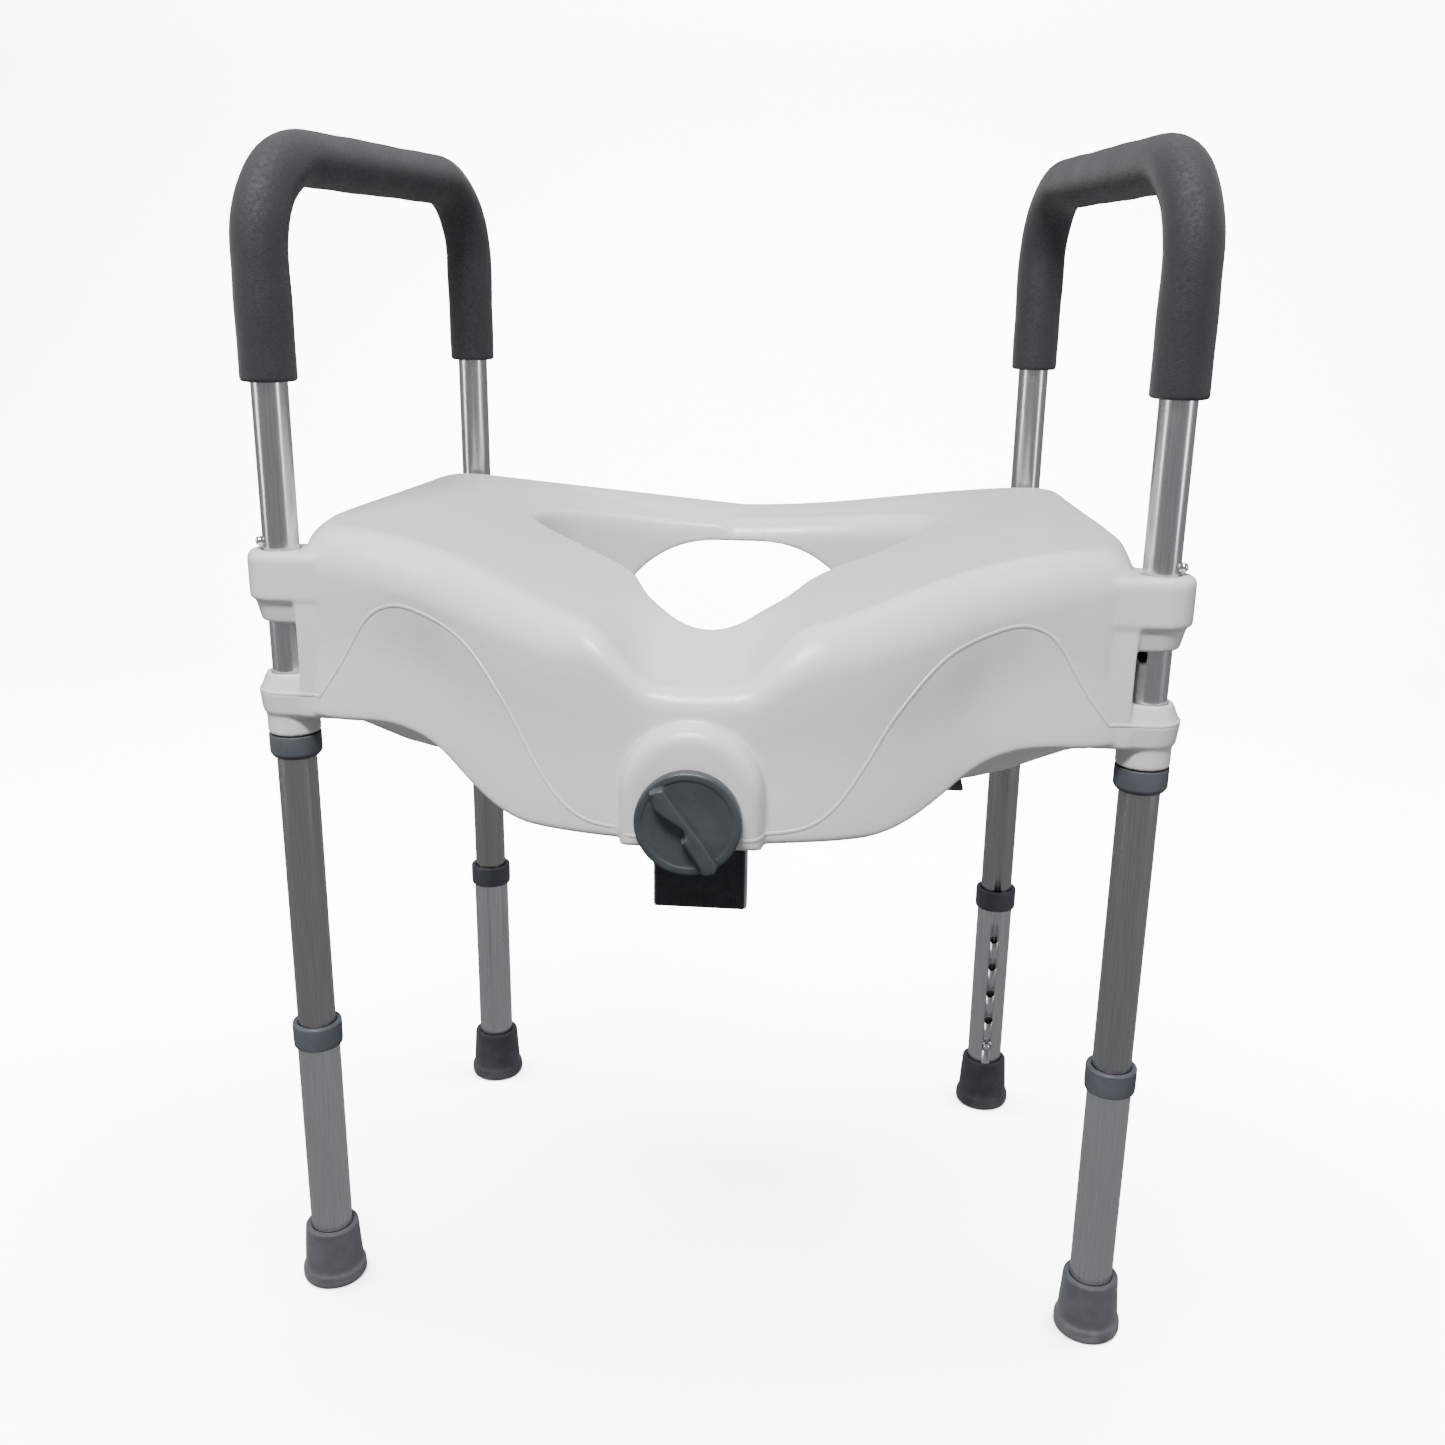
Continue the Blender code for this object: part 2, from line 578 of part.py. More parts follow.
def clip_mesh(tube_r, button_z):
    """Bent spring strip with a button, lying in a tube on the +X side, about the tube axis."""
    half = BUTTON_R
    strip = CLIP_STRIP
    face = math.sqrt((tube_r - TUBE_WALL - FIT) ** 2 - half ** 2)
    top = button_z + 0.010
    bend = button_z - 0.026
    profile = [(face, top), (face, bend + 0.004), (face - 0.002, bend), (face - 0.006, bend),
               (-0.002, button_z), (-0.002 + strip, button_z), (face - 0.005, bend + strip),
               (face - 0.0025, bend + strip), (face - strip, bend + 0.004), (face - strip, top)]
    bm = loft([[(x, side * half, z) for x, z in profile] for side in (-1, 1)])
    strip_mesh = finish_mesh(bm, "clip")
    button = disc_stack([(BUTTON_R, 0.0), (BUTTON_R, tube_r - face + 0.6 * BUTTON_REACH),
                         (0.8 * BUTTON_R, tube_r - face + 0.9 * BUTTON_REACH),
                         (0.4 * BUTTON_R, tube_r - face + BUTTON_REACH)], 10)
    place = Matrix.Translation((face - strip / 2, 0, button_z)) @ Matrix.Rotation(math.pi / 2, 4, 'Y')
    bmesh.ops.transform(button, matrix=place, verts=button.verts)
    return strip_mesh, finish_mesh(button, "button")


def add_clip(name, tube_r, button_z, parent, heading, surface):
    strip, button = clip_mesh(tube_r, button_z)
    clip = add_object(name, strip, surface, parent, (0, 0, 0), heading)
    combine(clip, add_cutter("button_" + name, button, parent, (0, 0, 0), heading), 'UNION')


def foot_mesh():
    bore = LEG_LOWER_R + FIT
    profile = [
        (bore, FOOT_HEIGHT), (bore, FOOT_FLOOR), (0.0, FOOT_FLOOR), (0.0, 0.0),
        (FOOT_SOLE_R - 0.0015, 0.0), (FOOT_SOLE_R, 0.002), (FOOT_SOLE_R - 0.0004, 0.010),
        (FOOT_TOP_R, FOOT_HEIGHT)]
    return finish_mesh(lathe(profile, ROUND), "foot")


def collar_mesh():
    bore = LEG_LOWER_R + FIT
    lip_bore = LEG_UPPER_R + 1.3 * FIT
    shelf = LOWER_TUBE_TOP + FIT
    top = shelf + COLLAR_LIP
    bottom = LOWER_TUBE_TOP - COLLAR_DEPTH
    profile = [(bore, bottom), (COLLAR_R, bottom), (COLLAR_R, top - 0.001),
               (COLLAR_R - 0.001, top), (lip_bore, top), (lip_bore, shelf), (bore, shelf)]
    return finish_mesh(lathe(profile, ROUND), "collar")


def ferrule_mesh():
    bore = LEG_UPPER_R + FIT
    profile = [(bore, FERRULE_BOTTOM), (COLLAR_R - 0.002, FERRULE_BOTTOM),
               (COLLAR_R, FERRULE_BOTTOM + 0.0025), (COLLAR_R, FERRULE_TOP), (bore, FERRULE_TOP)]
    return finish_mesh(lathe(profile, ROUND), "ferrule")


def build_legs(frame, surfaces):
    foot = foot_mesh()
    collar = collar_mesh()
    ferrule = ferrule_mesh()
    washer_r = LEG_LOWER_R - 2 * FIT
    hole_r = FOOT_WASHER_HOLE_R
    washer_low = FOOT_FLOOR + FIT
    washer_high = washer_low + WASHER_THICKNESS
    washer = finish_mesh(lathe([(hole_r, washer_low), (washer_r, washer_low), (washer_r, washer_high),
                                (hole_r, washer_high)], BENT_ROUND), "washer")
    for corner, (x, y) in CORNERS.items():
        axis = add_empty("leg_axis_" + corner, (x, y, 0), frame)
        heading = LEG_BUTTON_HEADINGS[corner]
        upper = finish_mesh(hollow_tube(LEG_UPPER_R, UPPER_TUBE_BOTTOM, UPPER_TUBE_TOP), "upper")
        upper_tube = add_object("leg_upper_tube_" + corner, upper, surfaces["dark_metal"], axis)
        hole = button_cutter(BUTTON_R + HOLE_CLEARANCE, LEG_UPPER_R + 0.01, LEG_BUTTON_Z, "hole")
        cutter = add_cutter("upper_hole_" + corner, hole, axis, (0, 0, 0), heading)
        combine(upper_tube, cutter, 'DIFFERENCE')

        lower = finish_mesh(hollow_tube(LEG_LOWER_R, LOWER_TUBE_BOTTOM, LOWER_TUBE_TOP), "lower")
        lower_tube = add_object("leg_lower_tube_" + corner, lower, surfaces["light_metal"], axis)
        for i in range(LEG_HOLE_COUNT):
            z = LEG_BUTTON_Z + i * LEG_HOLE_PITCH
            hole = button_cutter(BUTTON_R + HOLE_CLEARANCE, LEG_LOWER_R + 0.01, z, "hole")
            cutter = add_cutter(f"lower_hole_{i}_{corner}", hole, axis, (0, 0, 0), heading)
            combine(lower_tube, cutter, 'DIFFERENCE')

        add_object("leg_collar_" + corner, collar.copy(), surfaces["grey_plastic"], axis)
        add_object("leg_ferrule_" + corner, ferrule.copy(), surfaces["grey_plastic"], axis)
        add_object("leg_foot_" + corner, foot.copy(), surfaces["rubber"], axis)
        add_object("leg_foot_washer_" + corner, washer.copy(), surfaces["steel"], axis)
        add_clip("leg_clip_" + corner, LEG_UPPER_R, LEG_BUTTON_Z, axis, heading, surfaces["steel"])


# ---- handles ------------------------------------------------------------------------------------
def handle_path(span, low):
    """Points up one side, round a bend, along the grip and down the other side, in the XZ plane."""
    top = HANDLE_TOP - HANDLE_BEND_R
    points = [Vector((0, 0, low))]
    for turn in range(0, 91, 15):
        t = math.radians(turn)
        points.append(Vector((HANDLE_BEND_R * (1 - math.cos(t)), 0, top + HANDLE_BEND_R * math.sin(t))))
    return points + [Vector((span - p.x, 0, p.z)) for p in reversed(points)]


def pipe_ring(path, index, radius):
    """Ring across the path at one of its points."""
    before = path[max(index - 1, 0)]
    after = path[min(index + 1, len(path) - 1)]
    tangent = (after - before).normalized()
    if index in (1, len(path) - 2):
        tangent = Vector((0, 0, 1 if index == 1 else -1))
    side = Vector((0, 1, 0))
    across = side.cross(tangent)
    turns = [2 * math.pi * i / BENT_ROUND for i in range(BENT_ROUND)]
    return [path[index] + radius * (math.cos(t) * across + math.sin(t) * side) for t in turns]


def bent_pipe(path, outer, inner):
    bm = bmesh.new()
    skins = []
    for radius in (outer, inner):
        skins.append([[bm.verts.new(p) for p in pipe_ring(path, i, radius)] for i in range(len(path))])
    for rows in skins:
        for near, far in zip(rows, rows[1:]):
            for i in range(BENT_ROUND):
                j = (i + 1) % BENT_ROUND
                bm.faces.new((near[i], near[j], far[j], far[i]))
    for end in (0, -1):
        for i in range(BENT_ROUND):
            j = (i + 1) % BENT_ROUND
            bm.faces.new((skins[0][end][i], skins[0][end][j], skins[1][end][j], skins[1][end][i]))
    return bm


def build_handles(frame, surfaces):
    span = math.hypot(LEG_FRONT_X - LEG_REAR_X, 2 * LEG_HALF_SPAN)
    for side, sign, spare in (("left", -1, "rear_left"), ("right", 1, "front_right")):
        front = Vector((sign * LEG_FRONT_X, -LEG_HALF_SPAN))
        rear = Vector((sign * LEG_REAR_X, LEG_HALF_SPAN))
        heading = math.degrees(math.atan2(rear.y - front.y, rear.x - front.x))
        axis = add_empty("handle_axis_" + side, (*front, 0), frame)
        tube = finish_mesh(bent_pipe(handle_path(span, HANDLE_BOTTOM), HANDLE_TUBE_R,
                                     HANDLE_TUBE_R - TUBE_WALL), "handle_tube", 40)
        handle = add_object("handle_tube_" + side, tube, surfaces["light_metal"], axis, (0, 0, 0),
                            heading)
        grip = finish_mesh(bent_pipe(handle_path(span, GRIP_BOTTOM), GRIP_R, HANDLE_TUBE_R + 1.3 * FIT),
                           "handle_grip", 40)
        add_object("handle_grip_" + side, grip, surfaces["foam"], axis, (0, 0, 0), heading)
        for end in ("front_", "rear_"):
            corner = end + side
            place = add_empty("handle_end_" + corner, (*CORNERS[corner], 0), frame)
            toward = HANDLE_BUTTON_HEADINGS[corner]
            hole = button_cutter(BUTTON_R + HOLE_CLEARANCE, HANDLE_TUBE_R + 0.01, HANDLE_BUTTON_Z,
                                 "hole")
            cutter = add_cutter("handle_hole_" + corner, hole, place, (0, 0, 0), toward)
            combine(handle, cutter, 'DIFFERENCE')
            add_clip("handle_clip_" + corner, HANDLE_TUBE_R, HANDLE_BUTTON_Z, place, toward,
                     surfaces["chrome"])
            if corner == spare:
                hole = button_cutter(SPARE_HOLE_R, HANDLE_TUBE_R + 0.01, SPARE_HOLE_Z,
                                     "hole")
                facing = SPARE_HOLE_HEADING + (180 if end == "front_" else 0)
                cutter = add_cutter("spare_hole_" + corner, hole, place, (0, 0, 0), facing)
                combine(handle, cutter, 'DIFFERENCE')


# ---- clamp --------------------------------------------------------------------------------------
def turned_along_y(bm):
    """Turn a solid made along +Z so that it points along +Y."""
    bmesh.ops.transform(bm, matrix=Matrix.Rotation(-math.pi / 2, 4, 'X'), verts=bm.verts)
    return bm


def knob_rib_mesh():
    """Finger rib: two offset blades that meet at the middle, with a flank that leans over."""
    rings = []
    for y, shrink, lean in ((0.002, 1.0, 0.0), (-KNOB_RIB + 0.002, 0.92, 0.0012), (-KNOB_RIB, 0.80, 0.002)):
        rings.append([(x * shrink + lean, y, z * (0.4 + 0.6 * shrink) + lean) for x, z in KNOB_RIB_OUTLINE])
    return finish_mesh(loft(rings), "knob_rib")


def build_knob(axis, surfaces):
    back = KNOB_BACK_Y
    front = back - KNOB_DISC
    profile = [(KNOB_R - 0.001, 0.0), (KNOB_R, -0.001), (KNOB_R, -KNOB_DISC + 0.0025),
               (KNOB_R - 0.0025, -KNOB_DISC)]
    disc = turned_along_y(disc_stack(profile, 32))
    knob = add_object("clamp_knob", finish_mesh(disc, "clamp_knob"), surfaces["knob"], axis,
                      (0, back, 0))
    rib = add_cutter("knob_rib", knob_rib_mesh(), axis, (0, front, 0))
    combine(knob, rib, 'UNION')
    socket_end = front + KNOB_FACE
    socket = rod_mesh("knob_socket", SCREW_R + FIT, (0, socket_end, 0), (0, back + 0.01, 0), 16)
    combine(knob, add_cutter("knob_socket", socket, axis), 'DIFFERENCE')

    screw_start = socket_end + FIT
    screw = rod_mesh("clamp_screw", SCREW_R, (0, screw_start, 0), (0, screw_start + SCREW_LENGTH, 0), 16)
    add_object("clamp_screw", screw, surfaces["steel"], axis)
    ring = [(SCREW_R + FIT, 0.0), (WASHER_R, 0.0), (WASHER_R, WASHER_THICKNESS),
            (SCREW_R + FIT, WASHER_THICKNESS)]
    washer = finish_mesh(turned_along_y(lathe(ring, BENT_ROUND)), "clamp_washer")
    washer_y = BOSS_FACE_Y - FIT - WASHER_THICKNESS
    add_object("clamp_washer", washer, surfaces["steel"], axis, (0, washer_y, 0))
    retainer = finish_mesh(turned_along_y(lathe(ring, BENT_ROUND)), "clamp_retainer")
    add_object("clamp_retainer", retainer, surfaces["steel"], axis, (0, CHANNEL_FRONT_Y + FIT, 0))


def hex_ring(half_flats, y):
    radius = half_flats / math.cos(math.pi / 6)
    turns = [math.pi / 3 * i for i in range(6)]
    return [(radius * math.cos(t), y, radius * math.sin(t)) for t in turns]


def build_jaw(axis, surfaces):
    """Jaw that hangs inside the bowl: plate with a nut block, rubber face and captive nut."""
    front = JAW_FRONT_Y
    back = front + JAW_THICKNESS
    block_back = back + NUT_THICKNESS + 0.0015
    plate = block_mesh("clamp_jaw", (-JAW_HALF_WIDTH, front, -JAW_DROP), (JAW_HALF_WIDTH, back, JAW_RISE))
    jaw = add_object("clamp_jaw", plate, surfaces["jaw"], axis)
    half = NUT_BLOCK_HALF
    block = block_mesh("nut_block", (-half, back - 0.001, -half), (half, block_back, JAW_RISE - 0.0005))
    combine(jaw, add_cutter("nut_block", block, axis), 'UNION')
    pocket = loft([hex_ring(NUT_HALF_FLATS + FIT, back), hex_ring(NUT_HALF_FLATS + FIT, block_back + 0.01)])
    combine(jaw, add_cutter("nut_pocket", finish_mesh(pocket, "nut_pocket"), axis), 'DIFFERENCE')
    hole = rod_mesh("jaw_hole", SCREW_R + 2 * FIT, (0, front - 0.01, 0), (0, back + 0.002, 0))
    combine(jaw, add_cutter("jaw_hole", hole, axis), 'DIFFERENCE')

    pad_half = JAW_HALF_WIDTH - PAD_MARGIN
    pad = block_mesh("clamp_pad", (-pad_half, front - FIT - PAD_THICKNESS, PAD_MARGIN - JAW_DROP),
                     (pad_half, front - FIT, -PAD_TOP_DROP))
    add_object("clamp_pad", pad, surfaces["pad"], axis)

    nut_front = back + FIT
    nut = finish_mesh(loft([hex_ring(NUT_HALF_FLATS, nut_front),
                            hex_ring(NUT_HALF_FLATS, nut_front + NUT_THICKNESS)]), "clamp_nut")
    nut_object = add_object("clamp_nut", nut, surfaces["steel"], axis)
    thread = rod_mesh("nut_thread", SCREW_R + FIT, (0, nut_front - 0.01, 0),
                      (0, nut_front + NUT_THICKNESS + 0.01, 0))
    combine(nut_object, add_cutter("nut_thread", thread, axis), 'DIFFERENCE')


# ---- assembly -----------------------------------------------------------------------------------
def clear_scene():
    for old in list(bpy.data.objects):
        bpy.data.objects.remove(old, do_unlink=True)


def build():
    clear_scene()
    surfaces = {
        "shell": material("moulded_shell", (0.63, 0.63, 0.65), 0.42),
        "light_metal": material("anodised_tube", (0.62, 0.62, 0.63), 0.30, 1.0),
        "dark_metal": material("anodised_leg_tube", (0.45, 0.44, 0.45), 0.32, 1.0),
        "grey_plastic": material("grey_plastic", (0.065, 0.073, 0.088), 0.5),
        "rubber": material("grey_rubber", (0.060, 0.066, 0.078), 0.75),
        "foam": material("grip_foam", (0.020, 0.026, 0.030), 0.85),
        "steel": material("zinc_steel", (0.55, 0.55, 0.56), 0.35, 1.0),
        "chrome": material("button_chrome", (0.72, 0.72, 0.73), 0.12, 1.0),
        "knob": material("knob_plastic", (0.070, 0.079, 0.086), 0.45),
        "jaw": material("jaw_plastic", (0.40, 0.40, 0.42), 0.5),
        "pad": material("pad_rubber", (0.010, 0.010, 0.014), 0.8)}
    frame = add_empty("tube_frame", (0, FRAME_CENTRE_Y, 0))
    build_seat(frame, surfaces["shell"])
    build_bowl_pads(frame, surfaces["rubber"])
    build_legs(frame, surfaces)
    build_handles(frame, surfaces)
    clamp_axis = add_empty("clamp_axis", (0, 0, KNOB_Z), frame)
    build_knob(clamp_axis, surfaces)
    build_jaw(clamp_axis, surfaces)


build()
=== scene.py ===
"""Looks of the raised toilet seat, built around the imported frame. Metres, +Z up."""
import math

import bmesh
import bpy
from mathutils import Matrix, Vector
from mathutils.bvhtree import BVHTree


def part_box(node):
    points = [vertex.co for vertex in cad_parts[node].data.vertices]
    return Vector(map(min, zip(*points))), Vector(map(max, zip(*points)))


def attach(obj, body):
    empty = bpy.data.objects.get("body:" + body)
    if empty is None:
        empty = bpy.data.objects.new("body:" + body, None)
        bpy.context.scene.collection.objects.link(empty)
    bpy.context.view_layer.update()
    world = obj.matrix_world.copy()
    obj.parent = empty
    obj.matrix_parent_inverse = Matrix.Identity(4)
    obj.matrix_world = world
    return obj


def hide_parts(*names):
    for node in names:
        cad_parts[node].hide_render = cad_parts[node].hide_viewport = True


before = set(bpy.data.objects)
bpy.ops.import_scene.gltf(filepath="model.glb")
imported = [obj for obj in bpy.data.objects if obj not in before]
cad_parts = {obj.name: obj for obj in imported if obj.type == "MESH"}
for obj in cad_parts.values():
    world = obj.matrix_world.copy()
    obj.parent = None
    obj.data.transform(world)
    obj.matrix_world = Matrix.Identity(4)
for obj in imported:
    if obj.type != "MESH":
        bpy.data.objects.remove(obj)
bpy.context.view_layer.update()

# ---- places taken from the frame
FIT = 0.0003
CORNERS = ("front_left", "front_right", "rear_left", "rear_right")


def middle(node):
    low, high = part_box(node)
    return (low + high) / 2


LEG_AXIS = {corner: middle("leg_upper_tube_" + corner).to_2d() for corner in CORNERS}
CENTRE_Y = (LEG_AXIS["front_left"].y + LEG_AXIS["rear_left"].y) / 2
LEG_BUTTON_HEADINGS = {"front_left": 90, "front_right": 90, "rear_left": 90, "rear_right": -90}
HANDLE_BUTTON_HEADINGS = {"front_left": 200, "front_right": -20, "rear_left": 160, "rear_right": 20}
LUG_HEADINGS = {"front_left": 180, "front_right": 0, "rear_left": 90, "rear_right": 90}

# ---- sizes
HANDLE_TUBE_R = 0.0111
LEG_UPPER_R = 0.0127
LEG_LOWER_R = 0.0143
TUBE_WALL = 0.0012
BUTTON_R = 0.003
BUTTON_REACH = 0.0046
HOLE_R = 0.0035
LEG_HOLE_PITCH = 0.0254
HANDLE_BEND_R = 0.057
HANDLE_BUTTON_Z = 0.5345
LEG_BUTTON_Z = 0.058
SPARE_HOLE_Z = 0.481
SPARE_HOLE_R = 0.004
SPARE_HOLES = {"left": ("rear_left", 41), "right": ("front_right", 221)}
GRIP_R = 0.0172
GRIP_EDGE = 0.0022

SEAT_TOP = 0.545
CONTACT_Z = 0.386
DISH_DEPTH = 0.047
REAR_RISE = 0.030
DISH_HALF_WIDTH = 0.238
NOTCH_DEPTH = 0.026
NOTCH_FLAT = 0.022
NOTCH_HALF_WIDTH = 0.064
FRONT_LOW_Z = 0.383
CORNER_LOW_Z = 0.427
SIDE_SAG = 0.018
FRONT_FLAT = 0.095
FRONT_RISE = 0.115
SKIRT_DRAFT = 0.004
SKIRT_HOLLOW = 0.0022
VALLEY_DEPTH = 0.009
VALLEY_X = 0.178
VALLEY_WIDTH = 0.034
SIDE_EDGE_R = 0.012
CORNER_EDGE_R = 0.026
NOTCH_EDGE_R = 0.015
OPENING_EDGE_R = 0.0065
OPENING_REAR_EDGE_R = 0.019
BOTTOM_EDGE_R = 0.004

ARCH_Z = 0.505
ARCH_HALF_WIDTH = 0.098
ARCH_CORNER_R = 0.080
ARCH_FLARE = 0.006

LUG_R = 0.021
LUG_TOP = 0.530
LUG_TOP_EDGE = 0.0055
LUG_CREASE_Z = 0.500
WINDOW_TOP = 0.485
WINDOW_BOTTOM = 0.452
LUG_SLOPE_Z = 0.441
LUG_BOTTOM = 0.425
LUG_LEDGE = 0.003
LUG_INSET = 0.045
LUG_NECK_R = 0.0145
WINDOW_WALL = 0.0133
SLEEVE_R = 0.0166
SLEEVE_BOTTOM = 0.411

BOSS_HALF_WIDTH = 0.0415
BOSS_TOP = 0.455
BOSS_EDGE_R = 0.0100
SCREW_R = 0.004

JAW_THICKNESS = 0.008
KNOB_RIB_HEIGHT = 0.0075
THREAD_PITCH = 0.0020
WEAVE_PITCH = 0.0016

VENT_X = 0.165
VENT_YS = (-0.10, 0.02)
VENT_R = 0.004
BEAD_HALF_WIDTH = 0.0011
BEAD_RISE = 0.00055
VOXEL = 0.0013

# Right half of the deck outline, from the rear middle to the front middle. Each point is a share of
# the distance to the line through the tube axes, and a share of half the distance between them.
DECK_SHAPE = [
    (0.000, 0.852), (0.269, 0.856), (0.537, 0.859), (0.810, 0.866), (0.997, 0.859),
    (1.069, 0.770), (1.050, 0.412), (1.022, 0.000), (0.995, -0.412), (0.966, -0.790),
    (0.945, -1.017), (0.895, -1.141), (0.801, -1.192), (0.708, -1.223), (0.615, -1.265),
    (0.522, -1.347), (0.417, -1.464), (0.298, -1.563), (0.149, -1.625), (0.000, -1.649)]
# Right half of the opening, the same way round: distance from the middle, and the same share.
OPENING_SHAPE = [
    (0.000, 0.481), (0.045, 0.474), (0.085, 0.433), (0.116, 0.351), (0.128, 0.289),
    (0.136, 0.220), (0.139, 0.131), (0.133, 0.021), (0.112, -0.103), (0.088, -0.206),
    (0.074, -0.275), (0.064, -0.351), (0.056, -0.454), (0.050, -0.591), (0.042, -0.770),
    (0.032, -0.928), (0.017, -1.058), (0.000, -1.107)]
LEG_FRONT_X = LEG_AXIS["front_right"].x
LEG_REAR_X = LEG_AXIS["rear_right"].x
HALF_SPAN = LEG_AXIS["rear_right"].y - CENTRE_Y


def leg_line_x(y):
    """Distance from the middle plane to the line through a front and a rear tube axis."""
    share = min(max((HALF_SPAN - y) / (2 * HALF_SPAN), 0.0), 1.0)
    return LEG_REAR_X + (LEG_FRONT_X - LEG_REAR_X) * share


DECK_OUTLINE = [(a * leg_line_x(b * HALF_SPAN), b * HALF_SPAN) for a, b in DECK_SHAPE]
OPENING_OUTLINE = [(x, b * HALF_SPAN) for x, b in OPENING_SHAPE]
REAR_Y = DECK_OUTLINE[0][1]
CORNER_Y = DECK_OUTLINE[11][1]
# Finger rib on the knob, seen from the front, from the knob's middle.
KNOB_RIB_OUTLINE = [
    (-0.0215, 0.0200), (-0.0130, 0.0228), (-0.0042, 0.0097), (0.0014, 0.0022), (0.0097, -0.0083),
    (0.0178, -0.0215), (0.0166, -0.0262), (0.0096, -0.0286), (0.0042, -0.0192), (-0.0042, -0.0083),
    (-0.0008, -0.0061), (-0.0028, -0.0014), (-0.0139, 0.0055), (-0.0186, 0.0097)]
# Height of the moulding's parting line against the distance from the middle, on the front skirt.
PARTING_LINE = [
    (0.030, 0.390), (0.060, 0.3925), (0.079, 0.404), (0.097, 0.4265), (0.116, 0.4565),
    (0.142, 0.4855), (0.172, 0.4995), (0.192, 0.502), (0.210, 0.491), (0.229, 0.4585),
    (0.240, 0.441)]

# Turns of a quarter circle, for rounded edges.
QUARTER = [math.radians(degrees) for degrees in range(0, 91, 15)]
# Values of a noise pattern that are stretched to the whole range, for clouds and for fine grain.
CLOUDY = (0.35, 0.65)
GRAINY = (0.3, 0.7)


# ---- mesh helpers
def to_mesh(bm, name, smooth_degrees=35):
    bmesh.ops.recalc_face_normals(bm, faces=bm.faces)
    mesh = bpy.data.meshes.new(name)
    bm.to_mesh(mesh)
    bm.free()
    mesh.shade_smooth()
    mesh.set_sharp_from_angle(angle=math.radians(smooth_degrees))
    return mesh


def add(name, mesh, matrix=None):
    made = bpy.data.objects.new(name, mesh)
    if matrix:
        made.matrix_world = matrix
    bpy.context.scene.collection.objects.link(made)
    return made


def evaluated(target):
    """Apply the modifiers of an object and its placement, so that its mesh is final."""
    bpy.context.view_layer.update()
    graph = bpy.context.evaluated_depsgraph_get()
    mesh = bpy.data.meshes.new_from_object(target.evaluated_get(graph))
    mesh.transform(target.matrix_world)
    target.modifiers.clear()
    target.data = mesh
    target.matrix_world = Matrix.Identity(4)
    return target


def combine(target, tools, operation):
    for tool in tools:
        modifier = target.modifiers.new(tool.name, 'BOOLEAN')
        modifier.object = tool
        modifier.operation = operation
        modifier.solver = 'EXACT'
    evaluated(target)
    for tool in tools:
        bpy.data.objects.remove(tool)
    return target


def join(name, parts):
    """One object from several, with each part's placement kept."""
    bpy.context.view_layer.update()
    bm = bmesh.new()
    for part in parts:
        mesh = part.data.copy()
        mesh.transform(part.matrix_world)
        bm.from_mesh(mesh)
        bpy.data.objects.remove(part)
    mesh = bpy.data.meshes.new(name)
    bm.to_mesh(mesh)
    bm.free()
    return add(name, mesh)


def loft(rings, closed_loop=False, capped=True):
    bm = bmesh.new()
    rows = [[bm.verts.new(point) for point in ring] for ring in rings]
    count = len(rows[0])
    pairs = list(zip(rows, rows[1:]))
    if closed_loop:
        pairs.append((rows[-1], rows[0]))
    elif capped:
        bm.faces.new(rows[0])
        bm.faces.new(rows[-1])
    for near, far in pairs:
        for i in range(count):
            j = (i + 1) % count
            bm.faces.new((near[i], near[j], far[j], far[i]))
    return bm


def full_turn(sides):
    return [2 * math.pi * i / sides for i in range(sides)]


def lathe(profile, sides=64):
    """Turn a closed (radius, z) loop about Z; points on the axis are welded."""
    rings = [[(r * math.cos(t), r * math.sin(t), z) for r, z in profile] for t in full_turn(sides)]
    bm = loft(rings, closed_loop=True)
    bmesh.ops.remove_doubles(bm, verts=bm.verts, dist=0.000002)
    return bm


def rounded(corners, steps=4, closed=True):
    """Outline with each corner (x, y, radius) eased off by a curve that starts a radius away."""
    count = len(corners)
    points = []
    for i, (x, y, radius) in enumerate(corners):
        here = Vector((x, y))
        if radius == 0 or (not closed and i in (0, count - 1)):
            points.append(here)
            continue
        before = Vector(corners[i - 1][:2]) - here
        after = Vector(corners[(i + 1) % count][:2]) - here
        start = here + before.normalized() * min(radius, before.length * 0.49)
        end = here + after.normalized() * min(radius, after.length * 0.49)
        for step in range(steps + 1):
            t = step / steps
            points.append(start * (1 - t) ** 2 + here * 2 * t * (1 - t) + end * t * t)
    return [(p.x, p.y) for p in points]


def block(name, low, high):
    bm = bmesh.new()
    bmesh.ops.create_cube(bm, size=1.0)
    size = Vector(high) - Vector(low)
    centre = (Vector(high) + Vector(low)) / 2
    bmesh.ops.transform(bm, matrix=Matrix.Translation(centre) @ Matrix.Diagonal((*size, 1)),
                        verts=bm.verts)
    return add(name, to_mesh(bm, name))


def soft_block(name, low, high, edge, segments=3):
    """Block with every edge rounded."""
    made = block(name, low, high)
    bevel = made.modifiers.new("edges", 'BEVEL')
    bevel.width = edge
    bevel.segments = segments
    evaluated(made)
    made.data.shade_smooth()
    return made


def rod(name, radius, start, end, sides=32):
    start = Vector(start)
    end = Vector(end)
    length = (end - start).length
    rings = [[(radius * math.cos(t), radius * math.sin(t), z) for t in full_turn(sides)]
             for z in (0.0, length)]
    turn = (end - start).to_track_quat('Z', 'Y').to_matrix().to_4x4()
    return add(name, to_mesh(loft(rings), name), Matrix.Translation(start) @ turn)


def smoothstep(value):
    value = min(max(value, 0.0), 1.0)
    return value * value * (3 - 2 * value)


